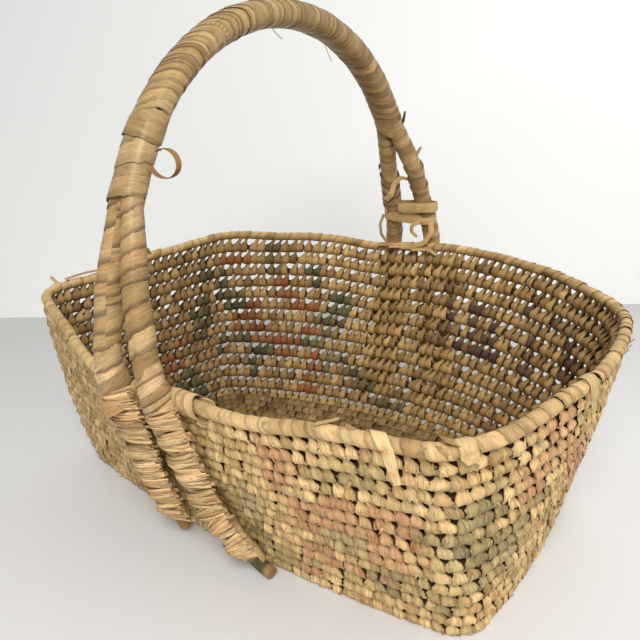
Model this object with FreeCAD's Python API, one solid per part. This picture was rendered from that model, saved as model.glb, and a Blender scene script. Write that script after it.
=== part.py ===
import FreeCAD, Part
import math
import os

# Woven fruit basket: a coiled oblong bowl, sewn course by course, with a fixed handle of two
# rods that are wrapped together over the arch and lashed to the outside of both long walls.
# Millimetres, +Z up, +X along the basket's length. The origin is on the underside of the
# centre of the base, in the plane of the handle.

V = FreeCAD.Vector
UP = V(0, 0, 1)

# Plan of the basket: corner points (front left, back left, back right, front right) and how far
# the side that starts at each corner bulges outwards between its corners.
BASE_CORNERS = [(-173.0, -70.0), (-152.0, 68.0), (170.0, 90.0), (180.0, -72.0)]
BASE_BULGES = [1.0, 36.0, 6.0, 16.0]
BASE_CORNER_R = 20.0
RIM_CORNERS = [(-196.0, -77.0), (-155.0, 78.0), (194.0, 86.0), (187.0, -119.0)]
RIM_BULGES = [-5.0, 76.0, 32.0, 36.0]
RIM_CORNER_R = 26.0
BELLY = [(-6.0, -3.0), (-3.0, 0.0), (0.0, 0.0), (0.0, 0.0)]  # what each corner stands out at half height
CORE_HALF_LENGTH = 78.0  # of the straight start of the coil, in the middle of the base
CORE_Y = 14.0
CORE_CORNER_R = 5.0

# The coil
COIL_D = 8.2  # one course with its wrapping
COIL_FLAT_Z = 3.7  # height of a base course's centre over its worn flat underside
RIM_D = 9.6
RIM_CORE_D = 6.6
WALL_COURSES = 13  # between the base's last course and the rim
BASE_COURSES = 9  # round the straight core, the last one under the wall
RIM_Z = 151.0
RIM_TILT = 1.9  # degrees: the back of the rim stands higher than the front

# The stitches between two courses
STITCH_PITCH = 10.0
STITCH_W = 3.6
STITCH_T = 1.8
STITCH_BITE = 0.7  # how far a stitch goes into each of its two courses

# The handle: (x, y, z, bend radius) of the corners of the left and the right rod, from the front
# foot over the arch to the back foot. The two rods run together over the arch.
ROD_D = 9.0
ROD_APART = 4.8  # half the distance between the rods where they are wrapped together
ARCH = [  # (y, z, bend radius), the same for both rods
    (-129.5, 243.0, 30.0),
    (-83.3, 336.0, 132.0),
    (80.2, 336.0, 137.0),
    (127.5, 254.0, 30.0),
]
LEFT_FRONT_LEG = [
    (-24.0, -99.5, 7.0, 0),
    (-25.5, -115.5, 54.0, 60.0),
    (-14.5, -147.5, 150.0, 60.0),
    (-10.0, -141.0, 197.0, 40.0),
]
RIGHT_FRONT_LEG = [
    (46.0, -99.0, 7.0, 0),
    (22.5, -115.5, 54.0, 60.0),
    (20.0, -147.5, 150.0, 60.0),
    (12.3, -141.0, 197.0, 40.0),
]
LEFT_BACK_LEG = [
    (-10.5, 141.0, 221.0, 30.0),
    (-22.0, 169.5, 154.0, 60.0),
    (-26.0, 142.5, 62.0, 60.0),
    (-30.0, 124.0, 7.0, 0),
]
RIGHT_BACK_LEG = [
    (13.5, 142.0, 221.0, 30.0),
    (17.0, 169.5, 154.0, 60.0),
    (25.0, 143.0, 62.0, 60.0),
    (30.0, 124.5, 7.0, 0),
]
FRONT_LEGS = (LEFT_FRONT_LEG, RIGHT_FRONT_LEG)
BACK_LEGS = (LEFT_BACK_LEG, RIGHT_BACK_LEG)

# What is wound round the rods
GRIP_W = 21.0  # across both rods
GRIP_H = 17.0
LEG_WRAP_D = 14.5
FRONT_WRAP_Z = (160.0, 222.0)
BACK_WRAP_Z = (164.0, 239.0)
WRAP_GAP = 0.2  # between a winding and its rod
LASHING_T = 3.0
LASHING_W = 12.0
UPPER_LASHINGS = 6  # between the rim and the knee of a rod
LOWER_LASHINGS = 2  # between the knee and the foot
LASHING_GAP = 0.4  # between a lashing and the rod that it holds

# Splints: thin flat strips of palm leaf
SPLINT_T = 1.0
TIE_W = 9.0
TIE_Z = (178.0, 189.0)
RIM_SPLINT_W = 9.0
LOOSE_LOOP_R = 9.0
LOOSE_LOOP_W = 4.0
LOOSE_LOOP_Z = 262.0

SEGMENTS = 8  # a plan outline is four side arcs and four corner arcs


def export(name, solids):
    shape = solids[0] if len(solids) == 1 else Part.makeCompound(solids)
    for solid in shape.Solids:
        if not solid.isValid() or solid.Volume <= 0:
            raise ValueError(name + ": a solid is not valid")
    shape.exportStep("parts/" + name + ".step")
    print(name, len(shape.Solids), round(sum(s.Volume for s in shape.Solids) / 1000.0, 2), "cm3")


def mix(a, b, t):
    return a + (b - a) * t


def mix_points(a, b, t):
    return [(mix(p[0], q[0], t), mix(p[1], q[1], t)) for p, q in zip(a, b)]


# ---- plan outlines ----------------------------------------------------------------------------

def side_circle(p, q, bulge):
    """Centre and radius of the arc from p to q, and +1 if it bulges outwards or -1 if inwards.
    The corners run clockwise seen from above, so outwards is to the left of the way from p to q."""
    run = q - p
    outwards = V(-run.y, run.x, 0).normalize()
    rise = max(abs(bulge), 0.5)
    sign = -1.0 if bulge < 0 else 1.0
    radius = (run.Length ** 2 / 4.0 + rise ** 2) / (2.0 * rise)
    centre = (p + q) * 0.5 - outwards * (sign * (radius - rise))
    return centre, radius, sign


def corner_centre(corner, before, after, r):
    """Centre of the arc of radius r that is tangent to both sides on their inner sides."""
    (c1, r1, s1), (c2, r2, s2) = before, after
    d1, d2 = r1 - s1 * r, r2 - s2 * r
    line = c2 - c1
    gap = line.Length
    along = (gap ** 2 + d1 ** 2 - d2 ** 2) / (2.0 * gap)
    aside = math.sqrt(max(d1 ** 2 - along ** 2, 0.0))
    direction = line.normalize()
    normal = V(-direction.y, direction.x, 0)
    found = [c1 + direction * along + normal * (k * aside) for k in (-1.0, 1.0)]
    return min(found, key=lambda c: (c - corner).Length)


def outline(corners, bulges, r):
    """The eight tangent arcs of a closed outline, as (centre, radius, first angle, sweep)."""
    points = [V(x, y, 0) for x, y in corners]
    sides = [side_circle(points[k], points[(k + 1) % 4], bulges[k]) for k in range(4)]
    centres = [corner_centre(points[k], sides[k - 1], sides[k], r) for k in range(4)]

    def touch(side, centre):
        away = (centre - side[0]).normalize()
        return side[0] + away * side[1]

    arcs = []
    for k in range(4):
        start = touch(sides[k], centres[k])
        end = touch(sides[k], centres[(k + 1) % 4])
        arcs.append(arc_between(sides[k][0], sides[k][1], start, end))
        corner_end = touch(sides[(k + 1) % 4], centres[(k + 1) % 4])
        arcs.append(arc_between(centres[(k + 1) % 4], r, end, corner_end))
    return arcs


def arc_between(centre, radius, start, end):
    first = math.atan2(start.y - centre.y, start.x - centre.x)
    last = math.atan2(end.y - centre.y, end.x - centre.x)
    sweep = (last - first + math.pi) % (2.0 * math.pi) - math.pi
    return centre, radius, first, sweep


def at(arcs, u):
    """Point and unit tangent of an outline at u, whose whole part is the arc's number."""
    k = int(u) % SEGMENTS
    centre, radius, first, sweep = arcs[k]
    angle = first + sweep * (u - int(u))
    point = centre + V(math.cos(angle), math.sin(angle), 0) * radius
    turn = 1.0 if sweep > 0 else -1.0
    return point, V(-math.sin(angle), math.cos(angle), 0) * turn


def spaced(arcs, pitch):
    """The values of u that divide an outline into equal lengths of about one pitch."""
    lengths = [abs(arc[1] * arc[3]) for arc in arcs]
    count = max(4, round(sum(lengths) / pitch))
    step = sum(lengths) / count
    found = []
    for n in range(count):
        s = (n + 0.5) * step
        k = 0
        while s > lengths[k]:
            s -= lengths[k]
            k += 1
        found.append(k + s / lengths[k])
    return found


# ---- courses of the coil ----------------------------------------------------------------------

def wall_level(course):
    """How far up the wall a course lies: 0 is the base's last course and 1 is the rim."""
    return course / (WALL_COURSES + 1.0)


def wall_outline(course):
    t = wall_level(course)
    bulges = [mix(a, b, t) for a, b in zip(BASE_BULGES, RIM_BULGES)]
    belly = 4.0 * t * (1.0 - t)
    corners = mix_points(BASE_CORNERS, RIM_CORNERS, t)
    corners = [(x + dx * belly, y + dy * belly) for (x, y), (dx, dy) in zip(corners, BELLY)]
    return outline(corners, bulges, mix(BASE_CORNER_R, RIM_CORNER_R, t))


def base_outline(course):
    t = course / float(BASE_COURSES)
    left, right = (-CORE_HALF_LENGTH, CORE_Y), (CORE_HALF_LENGTH, CORE_Y)
    corners = mix_points([left, left, right, right], BASE_CORNERS, t)
    return outline(corners, [b * t for b in BASE_BULGES], mix(CORE_CORNER_R, BASE_CORNER_R, t))


def wall_place(course):
    """The placement that lifts and tilts a course's flat outline."""
    t = wall_level(course)
    height = mix(COIL_FLAT_Z, RIM_Z, t)
    return FreeCAD.Placement(V(0, 0, height), FreeCAD.Rotation(V(1, 0, 0), RIM_TILT * t))


def section(centre, outwards, radius, flat):
    """A course's section, in the upright plane through outwards. flat is the height of the
    centre over a flat underside, or None for a full circle."""
    normal = outwards.cross(UP)
    if flat is None:
        return Part.Face(Part.Wire(Part.makeCircle(radius, centre, normal)))
    dip = math.asin(flat / radius)

    def rim_point(angle):
        return centre + outwards * (radius * math.cos(angle)) + UP * (radius * math.sin(angle))

    start, end = rim_point(-dip), rim_point(math.pi + dip)
    crown = Part.Arc(start, rim_point(math.pi / 2.0), end).toShape()
    return Part.Face(Part.Wire([crown, Part.LineSegment(end, start).toShape()]))


def ring(arcs, radius, flat=None):
    """One closed course round an outline, from a piece of torus along each of its arcs."""
    pieces = []
    for centre, arc_r, first, sweep in arcs:
        outwards = V(math.cos(first), math.sin(first), 0)
        face = section(centre + outwards * arc_r, outwards, radius, flat)
        pieces.append(face.revolve(centre, UP, math.degrees(sweep)))
    return pieces[0].fuse(pieces[1:]).removeSplitter().Solids[0]


def placed(shape, placement):
    shape.Placement = placement.multiply(shape.Placement)
    return shape


def wall_course(course):
    return placed(ring(wall_outline(course), COIL_D / 2.0), wall_place(course))


def base_course(course):
    lifted = ring(base_outline(course), COIL_D / 2.0, COIL_FLAT_Z)
    return placed(lifted, FreeCAD.Placement(V(0, 0, COIL_FLAT_Z), FreeCAD.Rotation()))


def base_core():
    """The straight start of the coil: a bar with a flat underside and round ends."""
    radius = COIL_D / 2.0
    left = V(-CORE_HALF_LENGTH, CORE_Y, COIL_FLAT_Z)
    bar = Part.makeCylinder(radius, 2.0 * CORE_HALF_LENGTH, left, V(1, 0, 0))
    ends = [Part.makeSphere(radius, V(x, CORE_Y, COIL_FLAT_Z)) for x in (left.x, -left.x)]
    floor = Part.makeBox(400, 40, 20, V(-200, CORE_Y - 20, -20))
    return bar.fuse(ends).removeSplitter().cut(floor).Solids[0]


def frame_at(origin, x_axis, y_axis, z_axis):
    """The matrix that carries the world's axes to the given ones at origin."""
    return FreeCAD.Matrix(
        x_axis.x, y_axis.x, z_axis.x, origin.x,
        x_axis.y, y_axis.y, z_axis.y, origin.y,
        x_axis.z, y_axis.z, z_axis.z, origin.z,
        0, 0, 0, 1,
    )


def stitch(low, high, tangent, low_r, high_r):
    """One stitch: a small flat block from the course at low to the course at high."""
    rise = high - low
    length = rise.Length - low_r - high_r + 2.0 * STITCH_BITE
    direction = rise.normalize()
    middle = low + direction * (low_r - STITCH_BITE + length / 2.0)
    across = (tangent - direction * tangent.dot(direction)).normalize()
    out = across.cross(direction)
    block = Part.makeBox(STITCH_W, STITCH_T, length, V(-STITCH_W / 2.0, -STITCH_T / 2.0, -length / 2.0))
    return block.transformGeometry(frame_at(middle, across, out * -1.0, direction)).Solids[0]


def wall_stitches(course):
    """The stitches that sew a wall course, or the rim, to the course below it."""
    low_arcs, high_arcs = wall_outline(course - 1), wall_outline(course)
    low_place, high_place = wall_place(course - 1), wall_place(course)
    high_r = (RIM_D if course > WALL_COURSES else COIL_D) / 2.0
    made = []
    for u in spaced(high_arcs, STITCH_PITCH):
        low, tangent = at(low_arcs, u)
        high, _ = at(high_arcs, u)
        low, high = low_place.multVec(low), high_place.multVec(high)
        made.append(stitch(low, high, tangent, COIL_D / 2.0, high_r))
    return made


def base_stitches():
    """The stitches that sew the base's courses to each other."""
    made = []
    lift = V(0, 0, COIL_FLAT_Z)
    for course in range(2, BASE_COURSES + 1):
        low_arcs, high_arcs = base_outline(course - 1), base_outline(course)
        for u in spaced(high_arcs, STITCH_PITCH):
            low, tangent = at(low_arcs, u)
            high, _ = at(high_arcs, u)
            if (high - low).Length > COIL_D:
                made.append(stitch(low + lift, high + lift, tangent, COIL_D / 2.0, COIL_D / 2.0))
    return made


# ---- handle -----------------------------------------------------------------------------------

def rounded_path(points):
    """A wire of straight runs joined by tangent arcs. Each point is (x, y, z, bend radius)."""
    corners = [V(*p[:3]) for p in points]
    edges, last = [], corners[0]
    for k in range(1, len(corners) - 1):
        back = (corners[k - 1] - corners[k]).normalize()
        on = (corners[k + 1] - corners[k]).normalize()
        half_turn = (math.pi - back.getAngle(on)) / 2.0
        radius = points[k][3]
        start = corners[k] + back * (radius * math.tan(half_turn))
        end = corners[k] + on * (radius * math.tan(half_turn))
        inwards = (back + on).normalize()
        middle = corners[k] + inwards * (radius / math.cos(half_turn) - radius)
        edges.append(Part.LineSegment(last, start).toShape())
        edges.append(Part.Arc(start, middle, end).toShape())
        last = end
    edges.append(Part.LineSegment(last, corners[-1]).toShape())
    return Part.Wire(edges)


def sweep(wire, profile):
    return wire.makePipeShell([profile], True, False).Solids[0]


def tube(wire, diameter):
    start = wire.Edges[0]
    tangent = start.tangentAt(start.FirstParameter)
    return sweep(wire, Part.Wire(Part.makeCircle(diameter / 2.0, start.Vertexes[0].Point, tangent)))


def rod_points(number):
    """The corners of one rod, from the front foot to the back foot."""
    x = ROD_APART * (-1.0, 1.0)[number]
    return FRONT_LEGS[number] + [(x, y, z, r) for y, z, r in ARCH] + BACK_LEGS[number]


def between_heights(points, low, high):
    """The stretch of a polyline of two or three points that lies between two heights."""
    found = []
    for p, q in zip(points, points[1:]):
        for z in (low, high):
            if (p[2] - z) * (q[2] - z) < 0:
                t = (z - p[2]) / (q[2] - p[2])
                found.append((z, mix(p[0], q[0], t), mix(p[1], q[1], t)))
    inner = [(p[2], p[0], p[1], p[3]) for p in points[1:-1] if low < p[2] < high]
    ends = [(z, x, y, 0) for z, x, y in found]
    return [(x, y, z, r) for z, x, y, r in sorted(ends + inner)]


def oval(centre, half_w, half_h):
    """A wire with two straight runs and two round ends, of half sizes given as vectors."""
    flank = half_w - half_w * (half_h.Length / half_w.Length)
    corners = [centre + flank + half_h, centre - flank + half_h]
    corners += [centre - flank - half_h, centre + flank - half_h]
    return Part.Wire([
        Part.LineSegment(corners[0], corners[1]).toShape(),
        Part.Arc(corners[1], centre - half_w, corners[2]).toShape(),
        Part.LineSegment(corners[2], corners[3]).toShape(),
        Part.Arc(corners[3], centre + half_w, corners[0]).toShape(),
    ])


def grip_wrap():
    """The winding that holds both rods together over the arch, as one sleeve."""
    wire = rounded_path([(0, y, z, r) for y, z, r in ARCH])
    first = wire.Edges[0]
    along = first.tangentAt(first.FirstParameter)
    side, out = V(1, 0, 0), along.cross(V(1, 0, 0)).normalize()
    start = first.Vertexes[0].Point
    inner_w, inner_h = ROD_APART + ROD_D / 2.0 + WRAP_GAP, ROD_D / 2.0 + WRAP_GAP
    sleeve = sweep(wire, oval(start, side * (GRIP_W / 2.0), out * (GRIP_H / 2.0)))
    hollow = sweep(wire, oval(start, side * inner_w, out * inner_h))
    return sleeve.cut(hollow).Solids[0]


def leg_wrap(points, heights):
    """The winding round one rod between the rim and the place where the rods meet."""
    wire = rounded_path(between_heights(points, *heights))
    return tube(wire, LEG_WRAP_D).cut(tube(wire, ROD_D + 2.0 * WRAP_GAP)).Solids[0]


def lashings(start, end, count, to_wall):
    """Half rings of leaf that hold a straight run of a rod to the wall, which is on the side
    that to_wall points to."""
    run = end - start
    direction = V(run.x, run.y, run.z).normalize()
    inner = ROD_D / 2.0 + LASHING_GAP
    outer = inner + LASHING_T
    facing = (to_wall - direction * to_wall.dot(direction)).normalize()
    side = facing.cross(direction)
    made = []
    for n in range(count):
        foot = start + direction * (run.Length * (n + 0.5) / count - LASHING_W / 2.0)
        shell = Part.makeCylinder(outer, LASHING_W, foot, direction)
        shell = shell.cut(Part.makeCylinder(inner, LASHING_W, foot, direction))
        block = Part.makeBox(4 * outer, 4 * outer, 2 * LASHING_W, V(-2 * outer, 1.0, -LASHING_W / 2.0))
        made.append(shell.cut(block.transformGeometry(frame_at(foot, side, facing, direction))).Solids[0])
    return made


# ---- splints ----------------------------------------------------------------------------------

def mix_height(p, q, z):
    """The point at height z between two of a rod's corners."""
    t = (z - p[2]) / (q[2] - p[2])
    return V(mix(p[0], q[0], t), mix(p[1], q[1], t), z)


def tie_band(centre, half_gap, tilt):
    """A flat strip tied in a loop round both back legs."""
    inner = LEG_WRAP_D / 2.0 + 0.3
    loops = []
    for r in (inner + SPLINT_T, inner):
        box = Part.makeBox(2 * half_gap, 2 * r, TIE_W, V(-half_gap, -r, -TIE_W / 2.0))
        ends = [Part.makeCylinder(r, TIE_W, V(x, 0, -TIE_W / 2.0), UP) for x in (-half_gap, half_gap)]
        loops.append(box.fuse(ends).removeSplitter())
    band = loops[0].cut(loops[1]).Solids[0]
    band.Placement = FreeCAD.Placement(centre, FreeCAD.Rotation(V(0, 1, 0), tilt))
    return band


def rim_splint(u, width, wrap):
    """A flat strip bent over the rim at u of its outline. wrap is how many degrees it covers."""
    point, tangent = at(wall_outline(WALL_COURSES + 1), u)
    inner = RIM_D / 2.0 + 0.2
    face = Part.Face(Part.Wire([
        Part.makeCircle(inner + SPLINT_T, V(0, 0, 0), UP, 90 - wrap / 2.0, 90 + wrap / 2.0),
        Part.LineSegment(polar(inner + SPLINT_T, 90 + wrap / 2.0), polar(inner, 90 + wrap / 2.0)).toShape(),
        Part.makeCircle(inner, V(0, 0, 0), UP, 90 - wrap / 2.0, 90 + wrap / 2.0),
        Part.LineSegment(polar(inner, 90 - wrap / 2.0), polar(inner + SPLINT_T, 90 - wrap / 2.0)).toShape(),
    ]))
    strip = face.extrude(V(0, 0, width))
    strip.translate(V(0, 0, -width / 2.0))
    out = tangent.cross(UP)
    turned = strip.transformGeometry(frame_at(point, out, UP, tangent * -1.0))
    return placed(turned.Solids[0], wall_place(WALL_COURSES + 1))


def polar(radius, degrees):
    return V(radius * math.cos(math.radians(degrees)), radius * math.sin(math.radians(degrees)), 0)


def loose_loop():
    """The free end of the grip's winding, sprung out in a small loop."""
    t = (LOOSE_LOOP_Z - ARCH[0][1]) / (ARCH[1][1] - ARCH[0][1])
    y = mix(ARCH[0][0], ARCH[1][0], t) + 4.0
    centre = V(GRIP_W / 2.0 + LOOSE_LOOP_R + 0.3, y, LOOSE_LOOP_Z)
    side = V(0, LOOSE_LOOP_W, 0)
    outer = Part.makeCylinder(LOOSE_LOOP_R, LOOSE_LOOP_W, centre - side * 0.5, side)
    inner = Part.makeCylinder(LOOSE_LOOP_R - SPLINT_T, LOOSE_LOOP_W, centre - side * 0.5, side)
    return outer.cut(inner).Solids[0]


# ---- the whole basket -------------------------------------------------------------------------

def build_bowl():
    export("base_core", [base_core()])
    for course in range(1, BASE_COURSES + 1):
        export("base_course_%02d" % course, [base_course(course)])
    export("base_stitching", base_stitches())
    for course in range(1, WALL_COURSES + 1):
        export("wall_course_%02d" % course, [wall_course(course)])
        export("wall_stitching_%02d" % course, wall_stitches(course))
    rim = WALL_COURSES + 1
    core = placed(ring(wall_outline(rim), RIM_CORE_D / 2.0), wall_place(rim))
    skin = placed(ring(wall_outline(rim), RIM_D / 2.0), wall_place(rim))
    export("rim_core", [core])
    export("rim_binding", [skin.cut(core).Solids[0]])
    export("rim_stitching", wall_stitches(rim))


def lashing_runs(leg, to_wall):
    """All the lashings of one lower end of a rod. leg is its foot, its knee and its rim corner."""
    foot, knee, rim = [V(*p[:3]) for p in leg]
    rim = knee + (rim - knee) * 0.94
    foot = knee + (foot - knee) * 0.92
    return lashings(knee, rim, UPPER_LASHINGS, to_wall) + lashings(foot, knee, LOWER_LASHINGS, to_wall)


def build_handle():
    export("handle_grip_wrap", [grip_wrap()])
    for number, name in enumerate(("left", "right")):
        points = rod_points(number)
        export("handle_rod_" + name, [tube(rounded_path(points), ROD_D)])
        export("front_leg_wrap_" + name, [leg_wrap(points[2:5], FRONT_WRAP_Z)])
        export("back_leg_wrap_" + name, [leg_wrap(points[7:10], BACK_WRAP_Z)])
        export("front_lashings_" + name, lashing_runs(points[0:3], V(0, 1, 0)))
        export("back_lashings_" + name, lashing_runs(points[:-4:-1], V(0, -1, 0)))
    for name, z, tilt in zip(("lower", "upper"), TIE_Z, (-2.0, 4.0)):
        ends = [mix_height(leg[0], leg[1], z) for leg in BACK_LEGS]
        band = tie_band((ends[0] + ends[1]) * 0.5, (ends[1].x - ends[0].x) / 2.0, tilt)
        export("back_tie_band_" + name, [band])
    export("grip_loose_end", [loose_loop()])


def build_splints():
    export("rim_splint_front", [rim_splint(6.05, RIM_SPLINT_W, 200)])
    export("rim_splint_corner", [rim_splint(5.04, RIM_SPLINT_W, 170)])
    export("rim_splint_right", [rim_splint(4.62, RIM_SPLINT_W, 200)])
    export("rim_splint_left", [rim_splint(0.20, RIM_SPLINT_W, 170)])


if __name__ == "__main__":
    os.makedirs("parts", exist_ok=True)
    build_bowl()
    build_handle()
    build_splints()
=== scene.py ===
import math

import bpy
import numpy as np
from mathutils import Matrix, Vector


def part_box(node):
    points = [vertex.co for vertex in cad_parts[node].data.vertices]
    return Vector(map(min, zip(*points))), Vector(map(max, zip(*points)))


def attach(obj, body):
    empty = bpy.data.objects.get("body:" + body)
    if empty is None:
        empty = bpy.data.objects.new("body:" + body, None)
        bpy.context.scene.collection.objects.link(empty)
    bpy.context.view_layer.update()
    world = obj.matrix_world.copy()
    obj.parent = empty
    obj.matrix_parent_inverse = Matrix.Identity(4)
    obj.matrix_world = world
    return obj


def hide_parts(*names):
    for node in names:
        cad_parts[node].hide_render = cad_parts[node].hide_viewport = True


# A coiled and stitched oblong fruit basket with a wrapped handle of two rods. Lengths are in
# millimetres until a mesh is made. +Z is up, +X runs along the basket.

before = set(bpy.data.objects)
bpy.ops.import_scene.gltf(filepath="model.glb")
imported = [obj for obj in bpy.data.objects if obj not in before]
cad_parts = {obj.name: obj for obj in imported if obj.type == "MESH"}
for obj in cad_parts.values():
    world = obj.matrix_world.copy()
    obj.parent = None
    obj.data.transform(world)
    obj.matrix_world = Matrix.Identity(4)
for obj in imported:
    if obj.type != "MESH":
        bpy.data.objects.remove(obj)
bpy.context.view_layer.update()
rng = np.random.default_rng(7)
MM = 0.001
UP = np.array([0.0, 0.0, 1.0])

# ---- sizes, the same as the CAD model's, but the right front leg ends a little further out ------

BASE_CORNERS = [(-173.0, -70.0), (-152.0, 68.0), (170.0, 90.0), (180.0, -72.0)]
BASE_BULGES = [1.0, 36.0, 6.0, 16.0]
BASE_CORNER_R = 20.0
RIM_CORNERS = [(-196.0, -77.0), (-155.0, 78.0), (194.0, 86.0), (187.0, -119.0)]
RIM_BULGES = [-5.0, 76.0, 32.0, 36.0]
RIM_CORNER_R = 26.0
BELLY = [(-6.0, -3.0), (-3.0, 0.0), (0.0, 0.0), (0.0, 0.0)]
CORE_HALF_LENGTH = 78.0
CORE_Y = 14.0
CORE_CORNER_R = 5.0
COIL_FLAT_Z = 3.7
WALL_COURSES = 13
BASE_COURSES = 9
RIM_Z = 151.0
RIM_TILT = math.radians(1.9)
ROD_APART = 4.8
ARCH = [(-129.5, 243.0, 30.0), (-83.3, 336.0, 132.0), (80.2, 336.0, 137.0), (127.5, 254.0, 30.0)]
FRONT_LEGS = [
    [(-24.0, -99.5, 7.0, 0), (-25.5, -115.5, 54.0, 60), (-14.5, -147.5, 150.0, 60),
     (-10.0, -141.0, 197.0, 40)],
    [(58.0, -100.0, 5.4, 0), (45.0, -99.5, 8.0, 12), (22.5, -115.5, 54.0, 60),
     (22.5, -147.5, 150.0, 60), (12.8, -141.0, 197.0, 40)],
]
BACK_LEGS = [
    [(-10.5, 141.0, 221.0, 30), (-22.0, 169.5, 154.0, 60), (-26.0, 142.5, 62.0, 60), (-30.0, 124.0, 7.0, 0)],
    [(13.5, 142.0, 221.0, 30), (17.0, 169.5, 154.0, 60), (25.0, 143.0, 62.0, 60), (30.0, 124.5, 7.0, 0)],
]

# the looks' own sizes
COIL_R = 3.2  # a course with its wraps, inside
BASE_RISE = 3.9  # half height of the pads that the stitches make under the base
LOW_RISE = 4.05  # the same on the outside of the lower and the upper courses of the walls
HIGH_RISE = 3.5
CORE_R = 2.3
BASE_CORE_R = 3.0
RIM_CORE_R = 2.6
RIM_R = 3.5
RIM_R_BACK = 3.1
RIM_PITCH = 8.0  # of the turns of the rim's binding
REST_Z = 2.0  # what would reach below the table is pressed flat into this height
PITCH = 7.3  # of the stitches
TIE_W = 3.3  # width of a stitch in the gap between two courses
SLANT = 2.6  # how far a stitch moves along while it crosses the gap
LEAF_T = 0.5
WRAP_T = 0.55  # thickness of the strips wound round the handle
ROD_R = 4.2
GRIP_W, GRIP_H = 9.7, 7.8  # half width and half height of the wound grip
SHARP = math.radians(42)  # edges sharper than this aren't smoothed


def unit(v):
    return v / np.linalg.norm(v, axis=-1, keepdims=True)


def smooth(t):
    t = np.clip(t, 0.0, 1.0)
    return t * t * (3.0 - 2.0 * t)


def mix(a, b, t):
    return a + (b - a) * t


# ---- plan outlines ------------------------------------------------------------------------------

def side_circle(p, q, bulge):
    run = q - p
    outwards = unit(np.array([-run[1], run[0]]))
    rise = max(abs(bulge), 0.5)
    sign = -1.0 if bulge < 0 else 1.0
    length = np.linalg.norm(run)
    radius = (length**2 / 4 + rise**2) / (2 * rise)
    return (p + q) / 2 - outwards * sign * (radius - rise), radius, sign


def corner_centre(corner, before, after, r):
    (c1, r1, s1), (c2, r2, s2) = before, after
    d1, d2 = r1 - s1 * r, r2 - s2 * r
    gap = np.linalg.norm(c2 - c1)
    along = (gap**2 + d1**2 - d2**2) / (2 * gap)
    aside = math.sqrt(max(d1**2 - along**2, 0))
    way = unit(c2 - c1)
    normal = np.array([-way[1], way[0]])
    found = [c1 + way * along + normal * k * aside for k in (-1, 1)]
    return min(found, key=lambda c: np.linalg.norm(c - corner))


def arc_points(centre, radius, start, end, step):
    first = math.atan2(*(start - centre)[::-1])
    last = math.atan2(*(end - centre)[::-1])
    sweep = (last - first + math.pi) % (2 * math.pi) - math.pi
    n = max(2, int(abs(sweep) * radius / step))
    a = first + sweep * np.arange(n) / n
    return centre + radius * np.stack([np.cos(a), np.sin(a)], 1)


def outline(corners, bulges, r, step=1.5):
    """Points round a closed plan outline of four side arcs and four corner arcs, clockwise."""
    points = [np.array(c) for c in corners]
    sides = [side_circle(points[k], points[(k + 1) % 4], bulges[k]) for k in range(4)]
    centres = [corner_centre(points[k], sides[k - 1], sides[k], r) for k in range(4)]
    found = []
    for k in range(4):
        j = (k + 1) % 4
        start = sides[k][0] + unit(centres[k] - sides[k][0]) * sides[k][1]
        end = sides[k][0] + unit(centres[j] - sides[k][0]) * sides[k][1]
        turned = sides[j][0] + unit(centres[j] - sides[j][0]) * sides[j][1]
        found.append(arc_points(sides[k][0], sides[k][1], start, end, step))
        found.append(arc_points(centres[j], r, end, turned, step))
    return np.concatenate(found)


class Course:
    """One closed course of the coil: a dense polyline with a position for every length along it."""

    def __init__(self, points):
        self.points = points
        step = np.linalg.norm(np.roll(points, -1, 0) - points, axis=1)
        self.s = np.concatenate([[0], np.cumsum(step)])
        self.length = self.s[-1]

    def at(self, s):
        s = np.mod(s, self.length)
        closed = np.concatenate([self.points, self.points[:1]])
        return np.stack([np.interp(s, self.s, closed[:, k]) for k in range(3)], -1)

    def tangent(self, s):
        return unit(self.at(s + 1.5) - self.at(s - 1.5))

    def nearest(self, q):
        far = np.linalg.norm(self.points[None] - q[:, None], axis=2)
        return self.points[far.argmin(1)]


WAVES = [(2, 0.5, 0.3), (3, 0.5, 1.9), (5, 0.45, 4.0), (8, 0.3, 2.2), (13, 0.25, 5.1), (21, 0.16, 0.7)]


def wobble(points, phase, size):
    """A hand-made unevenness that changes smoothly round the basket."""
    angle = np.arctan2(points[:, 1], points[:, 0])
    return size * sum(a * np.sin(n * angle + p + phase * (0.6 + 0.07 * n)) for n, a, p in WAVES)


def sag(x, y):
    """How far the pull of the handle and of use has moved the rim up or down from its plane."""
    def bump(at, size):
        return np.exp(-(((x - at) / size) ** 2))
    front = -19.0 * bump(-40, 75) - 7.0 * bump(75, 45) - 5.0 * bump(-180, 40)
    back = -8.5 * bump(-28, 40) - 1.5 * bump(50, 50) + 4.5 * bump(-150, 35)
    right_end = 7.0 * smooth((x - 192) / 26.0) * smooth((y + 110) / 60.0)
    return mix(front, back, smooth((y + 60) / 80.0)) + right_end


def wall_course(course):
    t = course / (WALL_COURSES + 1.0)
    belly = 4 * t * (1 - t)
    corners = [
        (mix(p[0], q[0], t) + d[0] * belly, mix(p[1], q[1], t) + d[1] * belly)
        for p, q, d in zip(BASE_CORNERS, RIM_CORNERS, BELLY)
    ]
    bulges = [mix(a, b, t) for a, b in zip(BASE_BULGES, RIM_BULGES)]
    plan = outline(corners, bulges, mix(BASE_CORNER_R, RIM_CORNER_R, t))
    lean = RIM_TILT * t
    x, y = plan[:, 0], plan[:, 1] * math.cos(lean)
    z = mix(COIL_FLAT_Z, RIM_Z, t) + plan[:, 1] * math.sin(lean)
    points = np.stack([x, y, z], 1)
    outwards = unit(plan - plan.mean(0))
    points[:, :2] += outwards * wobble(points, course * 0.55, 0.9 * smooth(t * 3))[:, None]
    points[:, 2] += wobble(points, 2.0 + course * 0.45, 0.75 * smooth(t * 4))
    points[:, 2] += sag(x, y) * t**1.7
    return Course(points)


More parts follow.
